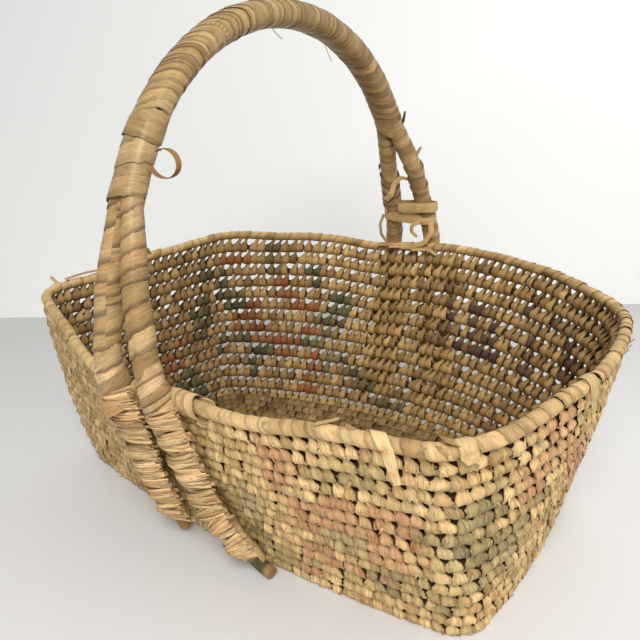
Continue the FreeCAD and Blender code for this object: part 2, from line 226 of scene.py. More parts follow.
def base_course(course):
    t = course / float(BASE_COURSES)
    left, right = (-CORE_HALF_LENGTH, CORE_Y), (CORE_HALF_LENGTH, CORE_Y)
    corners = [
        (mix(p[0], q[0], t), mix(p[1], q[1], t))
        for p, q in zip([left, left, right, right], BASE_CORNERS)
    ]
    plan = outline(corners, [b * t for b in BASE_BULGES], mix(CORE_CORNER_R, BASE_CORNER_R, t))
    z = np.full(len(plan), COIL_FLAT_Z)
    return Course(np.stack([plan[:, 0], plan[:, 1], z], 1))


def rounded_path(corners, step=1.5):
    """Points along straight runs joined by tangent arcs. Each corner is (x, y, z, bend radius)."""
    c = [np.array(p[:3], float) for p in corners]
    found, last = [], c[0]
    for k in range(1, len(c) - 1):
        back, on = unit(c[k - 1] - c[k]), unit(c[k + 1] - c[k])
        half = (math.pi - math.acos(np.clip(back @ on, -1, 1))) / 2
        radius = corners[k][3]
        reach = radius * math.tan(half)
        start, end = c[k] + back * reach, c[k] + on * reach
        middle = c[k] + unit(back + on) * radius / math.cos(half)
        n = max(2, int(np.linalg.norm(start - last) / step))
        found.append(last + (start - last) * np.linspace(0, 1, n, endpoint=False)[:, None])
        a, b = start - middle, end - middle
        m = max(3, int(2 * half * radius / step))
        u = np.linspace(0, 1, m, endpoint=False)[:, None]
        arc = np.sin((1 - u) * 2 * half) * a + np.sin(u * 2 * half) * b
        found.append(middle + arc / math.sin(2 * half))
        last = end
    n = max(2, int(np.linalg.norm(c[-1] - last) / step))
    found.append(last + (c[-1] - last) * np.linspace(0, 1, n)[:, None])
    return np.concatenate(found)


class Path:
    """An open polyline with a position and a frame for every length along it."""

    def __init__(self, points, side=(1.0, 0.0, 0.0)):
        self.points = points
        step = np.linalg.norm(np.diff(points, axis=0), axis=1)
        self.s = np.concatenate([[0], np.cumsum(step)])
        self.length = self.s[-1]
        self.side = np.array(side)

    def at(self, s):
        return np.stack([np.interp(s, self.s, self.points[:, k]) for k in range(3)], -1)

    def frame(self, s):
        """Centre, tangent, side and out vectors. Out is square to the tangent and the side."""
        s = np.asarray(s, float)
        t = unit(self.at(np.minimum(s + 2, self.length)) - self.at(np.maximum(s - 2, 0)))
        side = unit(self.side - t * (t @ self.side)[..., None])
        return self.at(s), t, side, np.cross(t, side)

    def rising(self, z):
        """The length at which a rod first passes height z."""
        return self.s[np.argmax(self.points[:, 2] > z)]


def rod_path(number):
    x = ROD_APART * (-1.0, 1.0)[number]
    return Path(rounded_path(FRONT_LEGS[number] + [(x, y, z, r) for y, z, r in ARCH] + BACK_LEGS[number]))


def radial(angle, x, y):
    """Unit vectors at these angles in the plane of x and y."""
    return np.cos(angle)[..., None] * x + np.sin(angle)[..., None] * y


# ---- meshes -------------------------------------------------------------------------------------

class Piece:
    """One mesh, gathered from closed skins. A skin is a grid whose rows are closed loops."""

    def __init__(self, name):
        self.name = name
        self.co, self.dye, self.fib = [], [], []
        self.loops, self.sizes = [], []
        self.count = 0

    def add(self, grid, dye, fib, ring=True):
        """grid is (n, rows, columns, 3). The columns always close. The rows close into a ring,
        or else the first and the last row are capped."""
        grid = np.asarray(grid, float)
        n, rows, cols, _ = grid.shape
        dye = np.broadcast_to(np.asarray(dye, float), (n, rows, cols, 3))
        index = self.count + np.arange(n * rows * cols).reshape(n, rows, cols)
        a, b = index, np.roll(index, -1, 2)
        if ring:
            c, d = np.roll(b, -1, 1), np.roll(a, -1, 1)
        else:
            c, d = b[:, 1:], a[:, 1:]
            a, b = a[:, :-1], b[:, :-1]
        quads = np.stack([a, b, c, d], -1).reshape(n, -1, 4)
        flat = grid.reshape(-1, 3)
        local = flat - np.repeat(flat.reshape(n, -1, 3).mean(1), rows * cols, 0)
        corner = local[quads - self.count]
        volume = sum(
            np.einsum("nqi,nqi->n", corner[:, :, 0], np.cross(corner[:, :, k], corner[:, :, k + 1]))
            for k in (1, 2)
        )
        flip = volume < 0
        quads[flip] = quads[flip][:, :, ::-1]
        self.loops.append(quads.reshape(-1))
        self.sizes.append(np.full(quads.shape[0] * quads.shape[1], 4))
        if not ring:
            first, last = index[:, 0].copy(), index[:, -1].copy()
            keep = flip[:, None]
            first = np.where(keep, first, first[:, ::-1])
            last = np.where(keep, last[:, ::-1], last)
            for cap in (first, last):
                self.loops.append(cap.reshape(-1))
                self.sizes.append(np.full(n, cols))
        self.co.append(flat)
        self.dye.append(dye.reshape(-1, 3))
        self.fib.append(np.broadcast_to(fib, grid.shape).reshape(-1, 3))
        self.count += n * rows * cols

    def make(self, material, slot, *nodes):
        mesh = bpy.data.meshes.new(self.name)
        co = np.concatenate(self.co)
        low = co[:, 2] < REST_Z
        co[low, 2] = REST_Z * np.exp(co[low, 2] / REST_Z - 1.0)
        co = co * MM
        loops = np.concatenate(self.loops)
        sizes = np.concatenate(self.sizes)
        mesh.vertices.add(len(co))
        mesh.vertices.foreach_set("co", co.astype(np.float32).ravel())
        mesh.loops.add(len(loops))
        mesh.loops.foreach_set("vertex_index", loops.astype(np.int32))
        mesh.polygons.add(len(sizes))
        mesh.polygons.foreach_set("loop_start", (np.cumsum(sizes) - sizes).astype(np.int32))
        mesh.update(calc_edges=True)
        mesh.polygons.foreach_set("use_smooth", np.ones(len(sizes), bool))
        mesh.set_sharp_from_angle(angle=SHARP)
        dye = np.concatenate(self.dye)
        colour = mesh.attributes.new("dye", "FLOAT_COLOR", "POINT")
        colour.data.foreach_set("color", np.c_[dye, np.ones(len(dye))].astype(np.float32).ravel())
        fibre = mesh.attributes.new("fib", "FLOAT_VECTOR", "POINT")
        fibre.data.foreach_set("vector", np.concatenate(self.fib).astype(np.float32).ravel())
        mesh.materials.append(material)
        piece = bpy.data.objects.new(self.name, mesh)
        bpy.context.scene.collection.objects.link(piece)
        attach(piece, "root")
        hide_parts(*nodes)


ACROSS = np.array([-1.0, -0.84, -0.56, -0.2, 0.2, 0.56, 0.84, 1.0])
SECTION_V = np.concatenate([ACROSS, [0.9, -0.9]])
SECTION_OUT = np.array([1.0] * len(ACROSS) + [0.0, 0.0])


def fibres(v, width, run):
    """The place of each point across and along its strip, and a number of the strip's own."""
    seed = rng.uniform(0, 900, len(width))[:, None, None]
    return np.stack(np.broadcast_arrays(v * width[..., None] / 2, run[..., None], seed), -1)


def bands(piece, centre, along, out, rise, profile, width, shift, dye, crown, lift, rough):
    """Closed leaf bands. profile is (n, rows, 2) in the (out, rise) plane round each centre,
    width and shift are (n, rows), and dye is (n, rows, 3)."""
    n, rows, _ = profile.shape
    cols = len(SECTION_V)
    step = np.roll(profile, -1, 1) - np.roll(profile, 1, 1)
    normal = unit(np.stack([step[..., 1], -step[..., 0]], -1))
    v = SECTION_V[None, None, :]
    crown, lift = np.broadcast_to(crown, (n,)), np.broadcast_to(lift, (n,))
    bulge = crown[:, None, None] * (1 - v**2) ** 0.7 + lift[:, None, None] * v
    height = (bulge + LEAF_T * (SECTION_OUT - 0.5)) * np.ones((1, rows, 1))
    rough = np.broadcast_to(rough, (n, rows))[..., None]
    ribs = rng.normal(0, 1.6, (n, 1, cols)) + rng.normal(size=(n, rows, cols))
    height = height + rough * ribs * SECTION_OUT
    ragged = rng.normal(size=(n, rows, cols)) + rng.normal(size=(n, 1, cols))
    edge = 1 + rough * 0.9 * ragged * (np.abs(v) == 1)
    t = shift[..., None] + v * edge * width[..., None] / 2
    o = profile[..., 0:1] + normal[..., 0:1] * height
    r = profile[..., 1:2] + normal[..., 1:2] * height
    grid = centre[:, None, None] + t[..., None] * along[:, None, None]
    grid = grid + o[..., None] * out[:, None, None] + r[..., None] * rise[:, None, None]
    run = np.cumsum(np.linalg.norm(np.roll(profile, -1, 1) - profile, axis=2), 1)
    fib = fibres(v, width, run)
    # the edges of each band are darkened: painted shade in the crevices between neighbouring stitches
    edges = np.where(np.abs(SECTION_V) > 0.8, 0.74, 1.0)[:, None]
    tone_and_crevice_shade = (1 + 0.07 * rng.normal(size=(n, 1, cols, 1))) * edges
    piece.add(grid, dye[:, :, None, :] * tone_and_crevice_shade, fib)


ROUND = np.radians([-90.0, -72, -52, -30, -8, 14, 34, 52])  # where a stitch goes round its course


def stitch_profile(inner_r, outer_rise, next_radius, distance):
    """The loop of a stitch, seen along the course: round the course, then up as a narrow tie
    that ends inside the next course."""
    n = len(distance)
    low = (inner_r + outer_rise) / 2

    def half(rise, sign):
        blend = smooth(ROUND + math.pi / 2)[None]
        rise = low[:, None] * (1 - blend) + rise[:, None] * blend
        o = sign * inner_r[:, None] * np.cos(ROUND)[None]
        r = rise * np.sin(ROUND)[None]
        top = rise[:, -1]
        thin = np.full(n, sign * 0.7)
        gap = np.maximum(distance - top - next_radius * 0.8, 0.8)
        o = np.concatenate([o, np.stack([sign * inner_r * 0.38, thin, thin], 1)], 1)
        r = np.concatenate([r, np.stack([top + 0.1 * gap, top + 0.5 * gap, top + gap], 1)], 1)
        return np.stack([o, r], -1)

    tip = np.stack([np.zeros(n), distance - 0.3 * next_radius], 1)[:, None]
    return np.concatenate([half(outer_rise, 1), tip, half(inner_r, -1)[:, :0:-1]], 1)


# how much of its full width a stitch has on its way round, outside and inside
OUTER_SHARE = np.array([0.97, 1, 1, 1, 1, 1, 0.98, 0.90, 0.60])
INNER_SHARE = np.array([0.92, 0.96, 0.99, 1, 1, 0.98, 0.92, 0.82, 0.62])


def stitches(piece, low, high, next_radius, out_hint, colour, flakes=0.0, outer_rise=BASE_RISE):
    """The stitches that sew course low to course high."""
    count = int(round(low.length / PITCH))
    s = (np.arange(count) + rng.uniform(-0.17, 0.17, count)) * low.length / count
    p, along = low.at(s), low.tangent(s)
    q = high.nearest(p)
    rise = unit(q - p)
    distance = np.linalg.norm(q - p, axis=1)
    along = unit(along - rise * np.sum(along * rise, 1)[:, None])
    out = np.cross(along, rise)
    out *= np.sign(np.sum(out * out_hint(p), 1))[:, None]
    weathered = smooth((30.0 - p[:, 1]) / 60.0) if flakes else np.zeros(count)
    inner_r = COIL_R * rng.normal(1, 0.04, count)
    outer_rise = mix(inner_r, outer_rise * rng.normal(1, 0.06, count), weathered)
    profile = stitch_profile(inner_r, outer_rise, next_radius, distance)
    profile = profile + np.stack([rng.normal(0, 0.22, count), np.zeros(count)], 1)[:, None]
    width = low.length / count * rng.normal(1.03, 0.07, count)
    tie = TIE_W * rng.normal(1, 0.18, count).clip(0.6, 1.5)
    share = np.concatenate([OUTER_SHARE, [0] * 5, INNER_SHARE[:0:-1]])
    width = np.maximum(share[None, : profile.shape[1]] * width[:, None], tie[:, None])
    bend = -np.sum((low.tangent(s + 5) - low.tangent(s - 5)) / 10 * out, 1)
    width = width * (1 + bend[:, None] * profile[..., 0] * 1.1).clip(0.7, 1.35)
    outness = smooth(profile[..., 0] / inner_r[:, None] * 0.8 + 0.5)
    width = width * (1 + 0.08 * outness * weathered[:, None])
    climb = smooth((profile[..., 1] - 0.5 * inner_r[:, None]) / (distance - 1.1 * inner_r)[:, None])
    slant = SLANT * rng.normal(1, 0.25, count)
    tilt = rng.normal(0.10, 0.09, count)
    shift = profile[..., 1] * tilt[:, None] + slant[:, None] * climb
    dye = colour(p, outness)
    rough = 0.035 + 0.12 * outness * weathered[:, None]
    crown = rng.normal(0.78, 0.14, count) - 0.42 * weathered
    lift = rng.normal(0.22, 0.14, count)
    bands(piece, p, along, out, rise, profile, width, shift, dye, crown, lift, rough)
    if flakes:
        slivers(piece, p, along, out, rise, weathered, dye[:, 4], flakes)


def slivers(piece, p, along, out, rise, weathered, dye, share):
    """Torn bits of leaf that stand off the outside of the stitches."""
    pick = np.nonzero(rng.uniform(size=len(p)) < share * (0.15 + weathered))[0]
    if not len(pick):
        return
    n = len(pick)
    u = np.linspace(0, 1, 5)[None]
    start = np.radians(rng.uniform(-50, 60, n))[:, None]
    way = rng.choice([-1.0, 1.0], n)[:, None]
    angle = start + way * u * rng.uniform(0.5, 1.1, n)[:, None]
    stand = COIL_R + 1.0 + u**1.7 * rng.uniform(0.3, 2.0, n)[:, None]
    face = radial(angle, out[pick][:, None], rise[pick][:, None])
    drift = u * rng.normal(0, 1.3, n)[:, None] + rng.uniform(-3, 3, n)[:, None]
    place = p[pick][:, None] + stand[..., None] * face + drift[..., None] * along[pick][:, None]
    width = rng.uniform(0.5, 2.0, n)[:, None] * (1 - 0.75 * u)
    ribbon(piece, place, face, width, 0.3, dye[pick][:, None] * rng.uniform(0.75, 1.15, (n, 1, 1)))


def ribbon(piece, path, face, width, thick, dye, cup=0.0):
    """Flat strips, (n, rows, 3), with blunt ends. face is the way that their flat side looks."""
    n, rows, _ = path.shape
    following = np.concatenate([path[:, 1:], path[:, -1:]], 1)
    ahead = unit(following - np.concatenate([path[:, :1], path[:, :-1]], 1))
    side = unit(np.cross(ahead, face))
    face = np.cross(side, ahead)
    v = np.array([-1.0, -0.4, 0.4, 1.0, 0.9, -0.9])
    top = np.array([0.35, 1.0, 1.0, 0.35, -0.6, -0.6])
    width = np.broadcast_to(width, (n, rows))
    height = thick / 2 * top + cup * (1 - v**2)
    grid = path[:, :, None] + side[:, :, None] * (v * width[..., None] / 2)[..., None]
    grid = grid + face[:, :, None] * height[None, None, :, None]
    run = np.cumsum(np.linalg.norm(np.diff(path, axis=1, prepend=path[:, :1]), axis=2), 1)
    dye = np.broadcast_to(dye, (n, rows, 3))[:, :, None, :] * np.ones((1, 1, len(v), 1))
    piece.add(grid, dye, fibres(v, width, run), ring=False)


def strip(piece, path, face, width, thick, dye, cup=0.0):
    """One flat strip along a path, (rows, 3)."""
    ribbon(piece, path[None], face[None], width, thick, dye, cup)


def tube(piece, points, tangents, radius, dye, cols=10, ring=True, seed=0.0, side=UP):
    """A tube round a polyline. radius is one number or one for each point."""
    side = unit(np.cross(tangents, side))
    out = np.cross(side, tangents)
    a = np.linspace(0, 2 * math.pi, cols, endpoint=False)
    radius = np.broadcast_to(radius, (len(points),))
    around = radial(a[None], side[:, None], out[:, None])
    grid = points[:, None] + radius[:, None, None] * around
    run = np.cumsum(np.r_[0, np.linalg.norm(np.diff(points, axis=0), axis=1)])
    across = radius[:, None] * a[None]
    fib = np.stack(np.broadcast_arrays(across, run[:, None], seed), -1)
    piece.add(grid[None], dye, fib[None], ring)


def course_tube(piece, course, radius, dye, step=3.0):
    s = np.arange(0, course.length, step)
    wave = 1 + 0.04 * np.sin(s * 0.9) + 0.03 * np.sin(s * 0.37 + 2)
    tube(piece, course.at(s), course.tangent(s), radius * wave, dye, seed=rng.uniform(0, 900))


# ---- colours ------------------------------------------------------------------------------------

def linear(r, g, b):
    c = np.array([r, g, b]) / 255.0
    return np.where(c <= 0.04045, c / 12.92, ((c + 0.055) / 1.055) ** 2.4)


INSIDE = linear(188, 154, 102)
INSIDE_DARK = linear(136, 101, 60)
OUTSIDE = linear(228, 196, 142)
OUTSIDE_DARK = linear(184, 150, 98)
# the foundation coil is painted very dark: painted shade in the gaps between the stitches, where the coil
# shows
CORE_PAINTED_SHADE = linear(62, 41, 22)
HANDLE = linear(196, 164, 116)
HANDLE_DARK = linear(150, 116, 74)
GRIP = linear(186, 156, 108)
GRIP_DARK = linear(140, 108, 68)
RAFFIA = linear(232, 198, 148)
RAFFIA_DARK = linear(190, 152, 102)
ROD = linear(160, 124, 80)
DYES = {
    "green": linear(86, 84, 58),
    "rust": linear(142, 88, 54),
    "purple": linear(88, 66, 56),
    "pink": linear(190, 130, 102),
    "sage": linear(132, 126, 90),
}

# Runs of dyed stitches, as (course, from, to). Lengths run along X on the long walls. On the
# inside, those below -140 turn the corner on to the left end.
INSIDE_DYE = {
    "green": [
        (13, -122, -110), (12, -122, -110), (11, -122, -112), (12, -172, -160), (11, -172, -160),
        (11, -156, -144), (10, -156, -144), (9, -153, -139), (8, -148, -132), (9, -180, -162),
        (8, -184, -160), (7, -184, -164), (6, -180, -166), (5, -153, -134), (4, -167, -152),
        (4, -136, -114), (3, -138, -118), (2, -134, -122), (3, -200, -178), (2, -208, -178),
        (1, -198, -176), (11, -92, -80), (10, -90, -74), (9, -70, -50), (8, -70, -50),
        (7, -76, -47), (6, -68, -54), (5, -86, -64), (4, -68, -40), (3, -44, -26), (3, -66, -56),
        (2, -36, -14), (1, -16, 2), (1, 6, 22),
    ],
    "rust": [
        (10, -119, -100), (9, -116, -98), (8, -104, -76), (8, -140, -126), (7, -142, -126),
        (6, -142, -118), (5, -134, -118), (5, -117, -88), (4, -114, -90), (6, -90, -76),
        (4, -82, -70), (3, -82, -68), (2, -82, -68), (1, -86, -70), (5, -218, -194), (4, -216, -194),
        (6, -204, -188), (12, -150, -134),
    ],
    "purple": [
        (11, 42, 54), (10, 44, 53), (9, 44, 53), (8, 44, 53), (7, 38, 52), (10, 68, 88), (9, 68, 77),
        (8, 68, 77), (7, 62, 98), (8, 86, 100), (9, 88, 98), (11, 118, 128), (10, 122, 132),
        (9, 124, 133), (8, 126, 134), (7, 120, 136), (11, 148, 158), (10, 158, 170), (9, 164, 176),
        (8, 158, 172), (7, 166, 178),
    ],
}
OUTSIDE_DYE = {
    "pink": [
        (12, 86, 104), (11, 84, 104), (10, 80, 103), (9, 84, 94), (8, 94, 112), (7, 88, 112),
        (6, 86, 108), (9, 116, 138), (8, 114, 137), (7, 113, 136), (4, 76, 112), (3, 80, 112),
        (1, 66, 92), (9, 144, 168), (8, 140, 170), (7, 140, 168), (6, 136, 156), (5, 138, 158),
        (4, 138, 160), (3, 108, 150), (13, 196, 206), (12, 196, 206), (11, 194, 204),
    ],
    "sage": [
        (8, 46, 64), (7, 38, 66), (6, 36, 66), (5, 34, 62), (4, 34, 60), (3, 32, 62), (2, 36, 72),
        (1, 40, 72), (11, 112, 150), (12, 134, 152), (6, 110, 133), (5, 112, 130), (8, 164, 186),
        (7, 166, 186), (4, 124, 168), (3, 126, 170), (2, 130, 172), (6, 174, 192), (5, 172, 192),
        (2, 80, 94), (10, 184, 198), (9, 186, 200),
    ],
}
RIGHT_END_DYE = {
    "pink": [(13, -64, -40), (12, -62, -38), (11, -60, -34), (10, -66, -44), (9, -62, -45), (10, -28, -8),
             (9, -24, 2), (8, -20, 10), (7, 0, 22), (6, -10, 26), (5, -40, -20)],
    "sage": [(10, -98, -78), (9, -96, -76), (8, -94, -74), (7, -92, -50), (6, -86, -44), (5, -62, -40),
             (8, -50, -30), (4, -80, -50)],
}


def shades(n, light, dark, spread=0.10):
    t = rng.beta(1.6, 2.2, n)[:, None]
    return mix(light, dark, t) * rng.normal(1, spread, (n, 1)) * rng.normal(1, 0.010, (n, 3))


def dyed(colours, course, place, runs, amount):
    for dye, cells in runs.items():
        for row, first, last in cells:
            if row != course:
                continue
            hit = (place > first) & (place < last)
            strength = (amount * rng.beta(4, 1.3, len(place)) * 1.2).clip(0, 1) * hit
            colours = mix(colours, DYES[dye] * rng.uniform(0.8, 1.15, (len(place), 1)), strength[:, None])
    return colours


def course_colour(course):
    """The colours of the stitches round a course, golden inside and bleached outside, with painted shade on
    the inside of the base and towards the left end.
    """
    def colour(p, outness):
        n = len(p)
        inner, outer = shades(n, INSIDE, INSIDE_DARK, 0.13), shades(n, OUTSIDE, OUTSIDE_DARK)
        # the inside floor of the base (courses below 0) is darkened: painted shade in the bottom of the bowl
        inner = inner * (0.64 if course < 0 else 1.0)
        x, y = p[:, 0], p[:, 1]
        # the inside is darkened towards the left end: painted shade
        inner = inner * mix(0.76, 1.0, smooth((x + 175.0) / 60.0))[:, None]
        # the outside is darkened towards the left: painted shade on the side turned from the light
        outer = outer * mix(0.84, 1.0, smooth((x + 60.0) / 60.0))[:, None]
        back = np.where(x < -140, np.minimum(y - 224, -140), x)
        inner = np.where((y > -10)[:, None], dyed(inner, course, back, INSIDE_DYE, 0.92), inner)
        front = (y < -60) & (x < 194)
        outer = np.where(front[:, None], dyed(outer, course, x, OUTSIDE_DYE, 0.48), outer)
        end = (x > 150) & (y > -105)
        outer = np.where(end[:, None], dyed(outer, course, y, RIGHT_END_DYE, 0.5), outer)
        return mix(inner[:, None], outer[:, None], outness[..., None])
    return colour


# ---- materials ----------------------------------------------------------------------------------

def node(tree, kind, **values):
    made = tree.nodes.new(kind)
    for key, value in values.items():
        if hasattr(made, key):
            setattr(made, key, value)
        else:
            made.inputs[key.replace("_", " ")].default_value = value
    return made


def math_node(tree, operation, a, b=None, clamp=False):
    made = tree.nodes.new("ShaderNodeMath")
    made.operation = operation
    made.use_clamp = clamp
    for socket, value in zip(made.inputs, (a, b)):
        if value is None:
            continue
        if isinstance(value, (int, float)):
            socket.default_value = value
        else:
            tree.links.new(value, socket)
    return made.outputs[0]


STAIN = (0.62, 0.47, 0.33)
SPECK = (0.28, 0.19, 0.12)
CRACK = (0.42, 0.32, 0.24)


def leaf_material(name, roughness, contrast, bump, specks=0.3, coat=0.0, cracks=0.6):
    """Dry palm leaf. Fibres run along each strip, from the strip's own (across, along) lengths."""
    material = bpy.data.materials.new(name)
    material.use_nodes = True
    tree = material.node_tree
    tree.nodes.clear()
    link = tree.links.new
    output = node(tree, "ShaderNodeOutputMaterial")
    shader = node(tree, "ShaderNodeBsdfPrincipled")
    link(shader.outputs[0], output.inputs[0])
    dye = node(tree, "ShaderNodeAttribute", attribute_name="dye")
    fib = node(tree, "ShaderNodeAttribute", attribute_name="fib")

    def noise(stretch, scale, detail, rough=0.6):
        mapping = node(tree, "ShaderNodeMapping")
        mapping.inputs["Scale"].default_value = stretch
        link(fib.outputs["Vector"], mapping.inputs["Vector"])
        made = node(tree, "ShaderNodeTexNoise")
        made.inputs["Scale"].default_value = scale
        made.inputs["Detail"].default_value = detail
        made.inputs["Roughness"].default_value = rough
        link(mapping.outputs[0], made.inputs["Vector"])
        return made.outputs["Fac"]

    fibres = noise((0.62, 0.05, 1.0), 3.2, 4.0, 0.7)
    streaks = noise((0.26, 0.03, 1.0), 3.2, 2.0)
    blotch = noise((0.12, 0.12, 1.0), 1.3, 3.0)
    speck = noise((0.9, 0.6, 1.0), 1.5, 2.0)
    def scaled(value, gain, base):
        made = math_node(tree, "MULTIPLY_ADD", value, gain)
        made.node.inputs[2].default_value = base
        return made

    def past(a, b, gain):
        """How far a lies above b, from 0 to 1."""
        return math_node(tree, "MULTIPLY", math_node(tree, "SUBTRACT", a, b, True), gain, True)

    def darkened(base, amount, colour):
        mixed = node(tree, "ShaderNodeMix", data_type="RGBA", blend_type="MULTIPLY")
        link(amount, mixed.inputs[0])
        link(base, mixed.inputs[6])
        mixed.inputs[7].default_value = (*colour, 1)
        return mixed.outputs[2]

    low = scaled(streaks, contrast * 1.5, 1.0 - contrast * 0.75)
    tone = math_node(tree, "MULTIPLY", scaled(fibres, contrast, 1.0 - contrast * 0.5), low)
    tint = node(tree, "ShaderNodeMix", data_type="RGBA", blend_type="MULTIPLY")
    tint.inputs[0].default_value = 1.0
    link(dye.outputs["Color"], tint.inputs[6])
    link(tone, tint.inputs[7])
    colour = darkened(tint.outputs[2], past(blotch, 0.52, 3.0), STAIN)
    colour = darkened(colour, past(speck, 0.66, 9.0 * specks), SPECK)
    colour = darkened(colour, past(0.43, fibres, 7.0 * cracks), CRACK)
    link(colour, shader.inputs["Base Color"])
    link(scaled(fibres, 0.30, roughness - 0.15), shader.inputs["Roughness"])
    shader.inputs["Specular IOR Level"].default_value = 0.15
    if coat:
        shader.inputs["Coat Weight"].default_value = coat
        shader.inputs["Coat Roughness"].default_value = 0.28
    strands = math_node(tree, "MULTIPLY", fibres, 0.7)
    height = math_node(tree, "ADD", strands, math_node(tree, "MULTIPLY", streaks, 0.5))
    relief = node(tree, "ShaderNodeBump")
    relief.inputs["Strength"].default_value = bump
    relief.inputs["Distance"].default_value = 0.0007
    link(height, relief.inputs["Height"])
    link(relief.outputs[0], shader.inputs["Normal"])
    return material


weave_leaf = leaf_material("weave_leaf", roughness=0.50, contrast=0.75, bump=0.8, cracks=1.0)
core_leaf = leaf_material("core_leaf", roughness=0.75, contrast=0.7, bump=0.8)
rim_leaf = leaf_material("rim_leaf", roughness=0.50, contrast=0.45, bump=0.5, specks=0.6)
handle_leaf = leaf_material("handle_leaf", roughness=0.36, contrast=0.6, bump=0.6, coat=0.2, cracks=0.5)
raffia_leaf = leaf_material("raffia_leaf", roughness=0.6, contrast=0.7, bump=0.8, specks=0.2, cracks=1.0)
splint_leaf = leaf_material("splint_leaf", roughness=0.40, contrast=0.40, bump=0.4, coat=0.1)
rod_bark = leaf_material("rod_bark", roughness=0.7, contrast=0.6, bump=0.7)


# ---- bowl ---------------------------------------------------------------------------------------

middle = np.array([5.0, 10.0, 0.0])


def outwards(p):
    away = p - middle
    away[:, 2] = -20.0
    return away


def downwards(p):
    return np.tile([0.0, 0.0, -1.0], (len(p), 1))


def build_bowl():
    base = [None] + [base_course(c) for c in range(1, BASE_COURSES + 1)]
    walls = [base[-1]] + [wall_course(c) for c in range(1, WALL_COURSES + 2)]
    core = Piece("base_core_coil")
    x = np.arange(-CORE_HALF_LENGTH, CORE_HALF_LENGTH + 1, 3.0)
    line = np.stack([x, np.full_like(x, CORE_Y), np.full_like(x, COIL_FLAT_Z)], 1)
    tube(core, line, np.tile([1.0, 0, 0], (len(x), 1)), BASE_CORE_R, INSIDE_DARK, ring=False)
    core.make(weave_leaf, "straw_wrap", "base_core")
    for c in range(1, BASE_COURSES + 1):
        ring = Piece("base_course_%02d_coil" % c)
        course_tube(ring, base[c], CORE_R, CORE_PAINTED_SHADE)
        ring.make(core_leaf, "straw_wrap", "base_course_%02d" % c)
    for c in range(1, BASE_COURSES):
        sewn = Piece("base_stitching_%02d_leaf" % c)
        stitches(sewn, base[c], base[c + 1], COIL_R, downwards, course_colour(-c))
        sewn.make(weave_leaf, "straw_stitch", "base_stitching")
    for c in range(1, WALL_COURSES + 1):
        ring = Piece("wall_course_%02d_coil" % c)
        course_tube(ring, walls[c], CORE_R, CORE_PAINTED_SHADE)
        ring.make(core_leaf, "straw_wrap", "wall_course_%02d" % c)
    for c in range(0, WALL_COURSES + 1):
        rim = c == WALL_COURSES
        name = "rim_stitching" if rim else "wall_stitching_%02d" % (c + 1)
        sewn = Piece(name + "_leaf")
        stitches(sewn, walls[c], walls[c + 1], RIM_R_BACK if rim else COIL_R, outwards, course_colour(c),
                 flakes=0.9, outer_rise=mix(LOW_RISE, HIGH_RISE, smooth((c - 6) / 6.0)))
        sewn.make(weave_leaf, "straw_stitch", name)
    rim_binding(walls[-1])
    return walls


def rim_radius(p):
    """The rim is thick at the front right and thinner elsewhere."""
    return mix(RIM_R_BACK, RIM_R, smooth((10 - p[:, 1]) / 60.0) * smooth((p[:, 0] + 10) / 60.0))


def rim_binding(rim):
    core = Piece("rim_core_coil")
    course_tube(core, rim, RIM_CORE_R, CORE_PAINTED_SHADE)
    core.make(core_leaf, "rod_wood", "rim_core")
    wound = Piece("rim_binding_leaf")
    count = int(rim.length / RIM_PITCH)
    s = (np.arange(count) + rng.uniform(-0.25, 0.25, count)) * rim.length / count
    p, along = rim.at(s), rim.tangent(s)
    out = unit(np.cross(along, UP))
    out *= np.sign(np.sum(out * outwards(p), 1))[:, None]
    rise = np.cross(out, along)
    rise *= np.sign(rise[:, 2])[:, None]
    a = np.linspace(-math.pi / 2, 1.5 * math.pi, 22, endpoint=False)
    size = rim_radius(p) * rng.normal(1, 0.04, count)
    profile = size[:, None, None] * np.stack([np.cos(a), np.sin(a)], 1)[None]
    width = np.tile((rim.length / count * rng.uniform(1.2, 1.75, count))[:, None], (1, 22))
    shift = np.sin(a)[None] * rng.normal(2.0, 0.7, count)[:, None]
    outness = smooth(0.75 + 0.5 * np.cos(a) + 0.4 * np.sin(a))
    inner = shades(count, HANDLE, INSIDE_DARK)
    outer = shades(count, mix(OUTSIDE, HANDLE, 0.55), mix(OUTSIDE_DARK, HANDLE_DARK, 0.35))
    dye = mix(inner[:, None], outer[:, None], outness[None, :, None])
    bands(wound, p, along, out, rise, profile, width, shift, dye, crown=0.15, lift=0.34, rough=0.05)
    rim_roll(wound, rim, 40.0, 6.4, 24.0)
    rim_roll(wound, rim, 3.0, 5.4, 20.0)
    cross_wraps(wound, rim)
    wound.make(rim_leaf, "rim_leaf", "rim_binding")


# ---- handle -------------------------------------------------------------------------------------

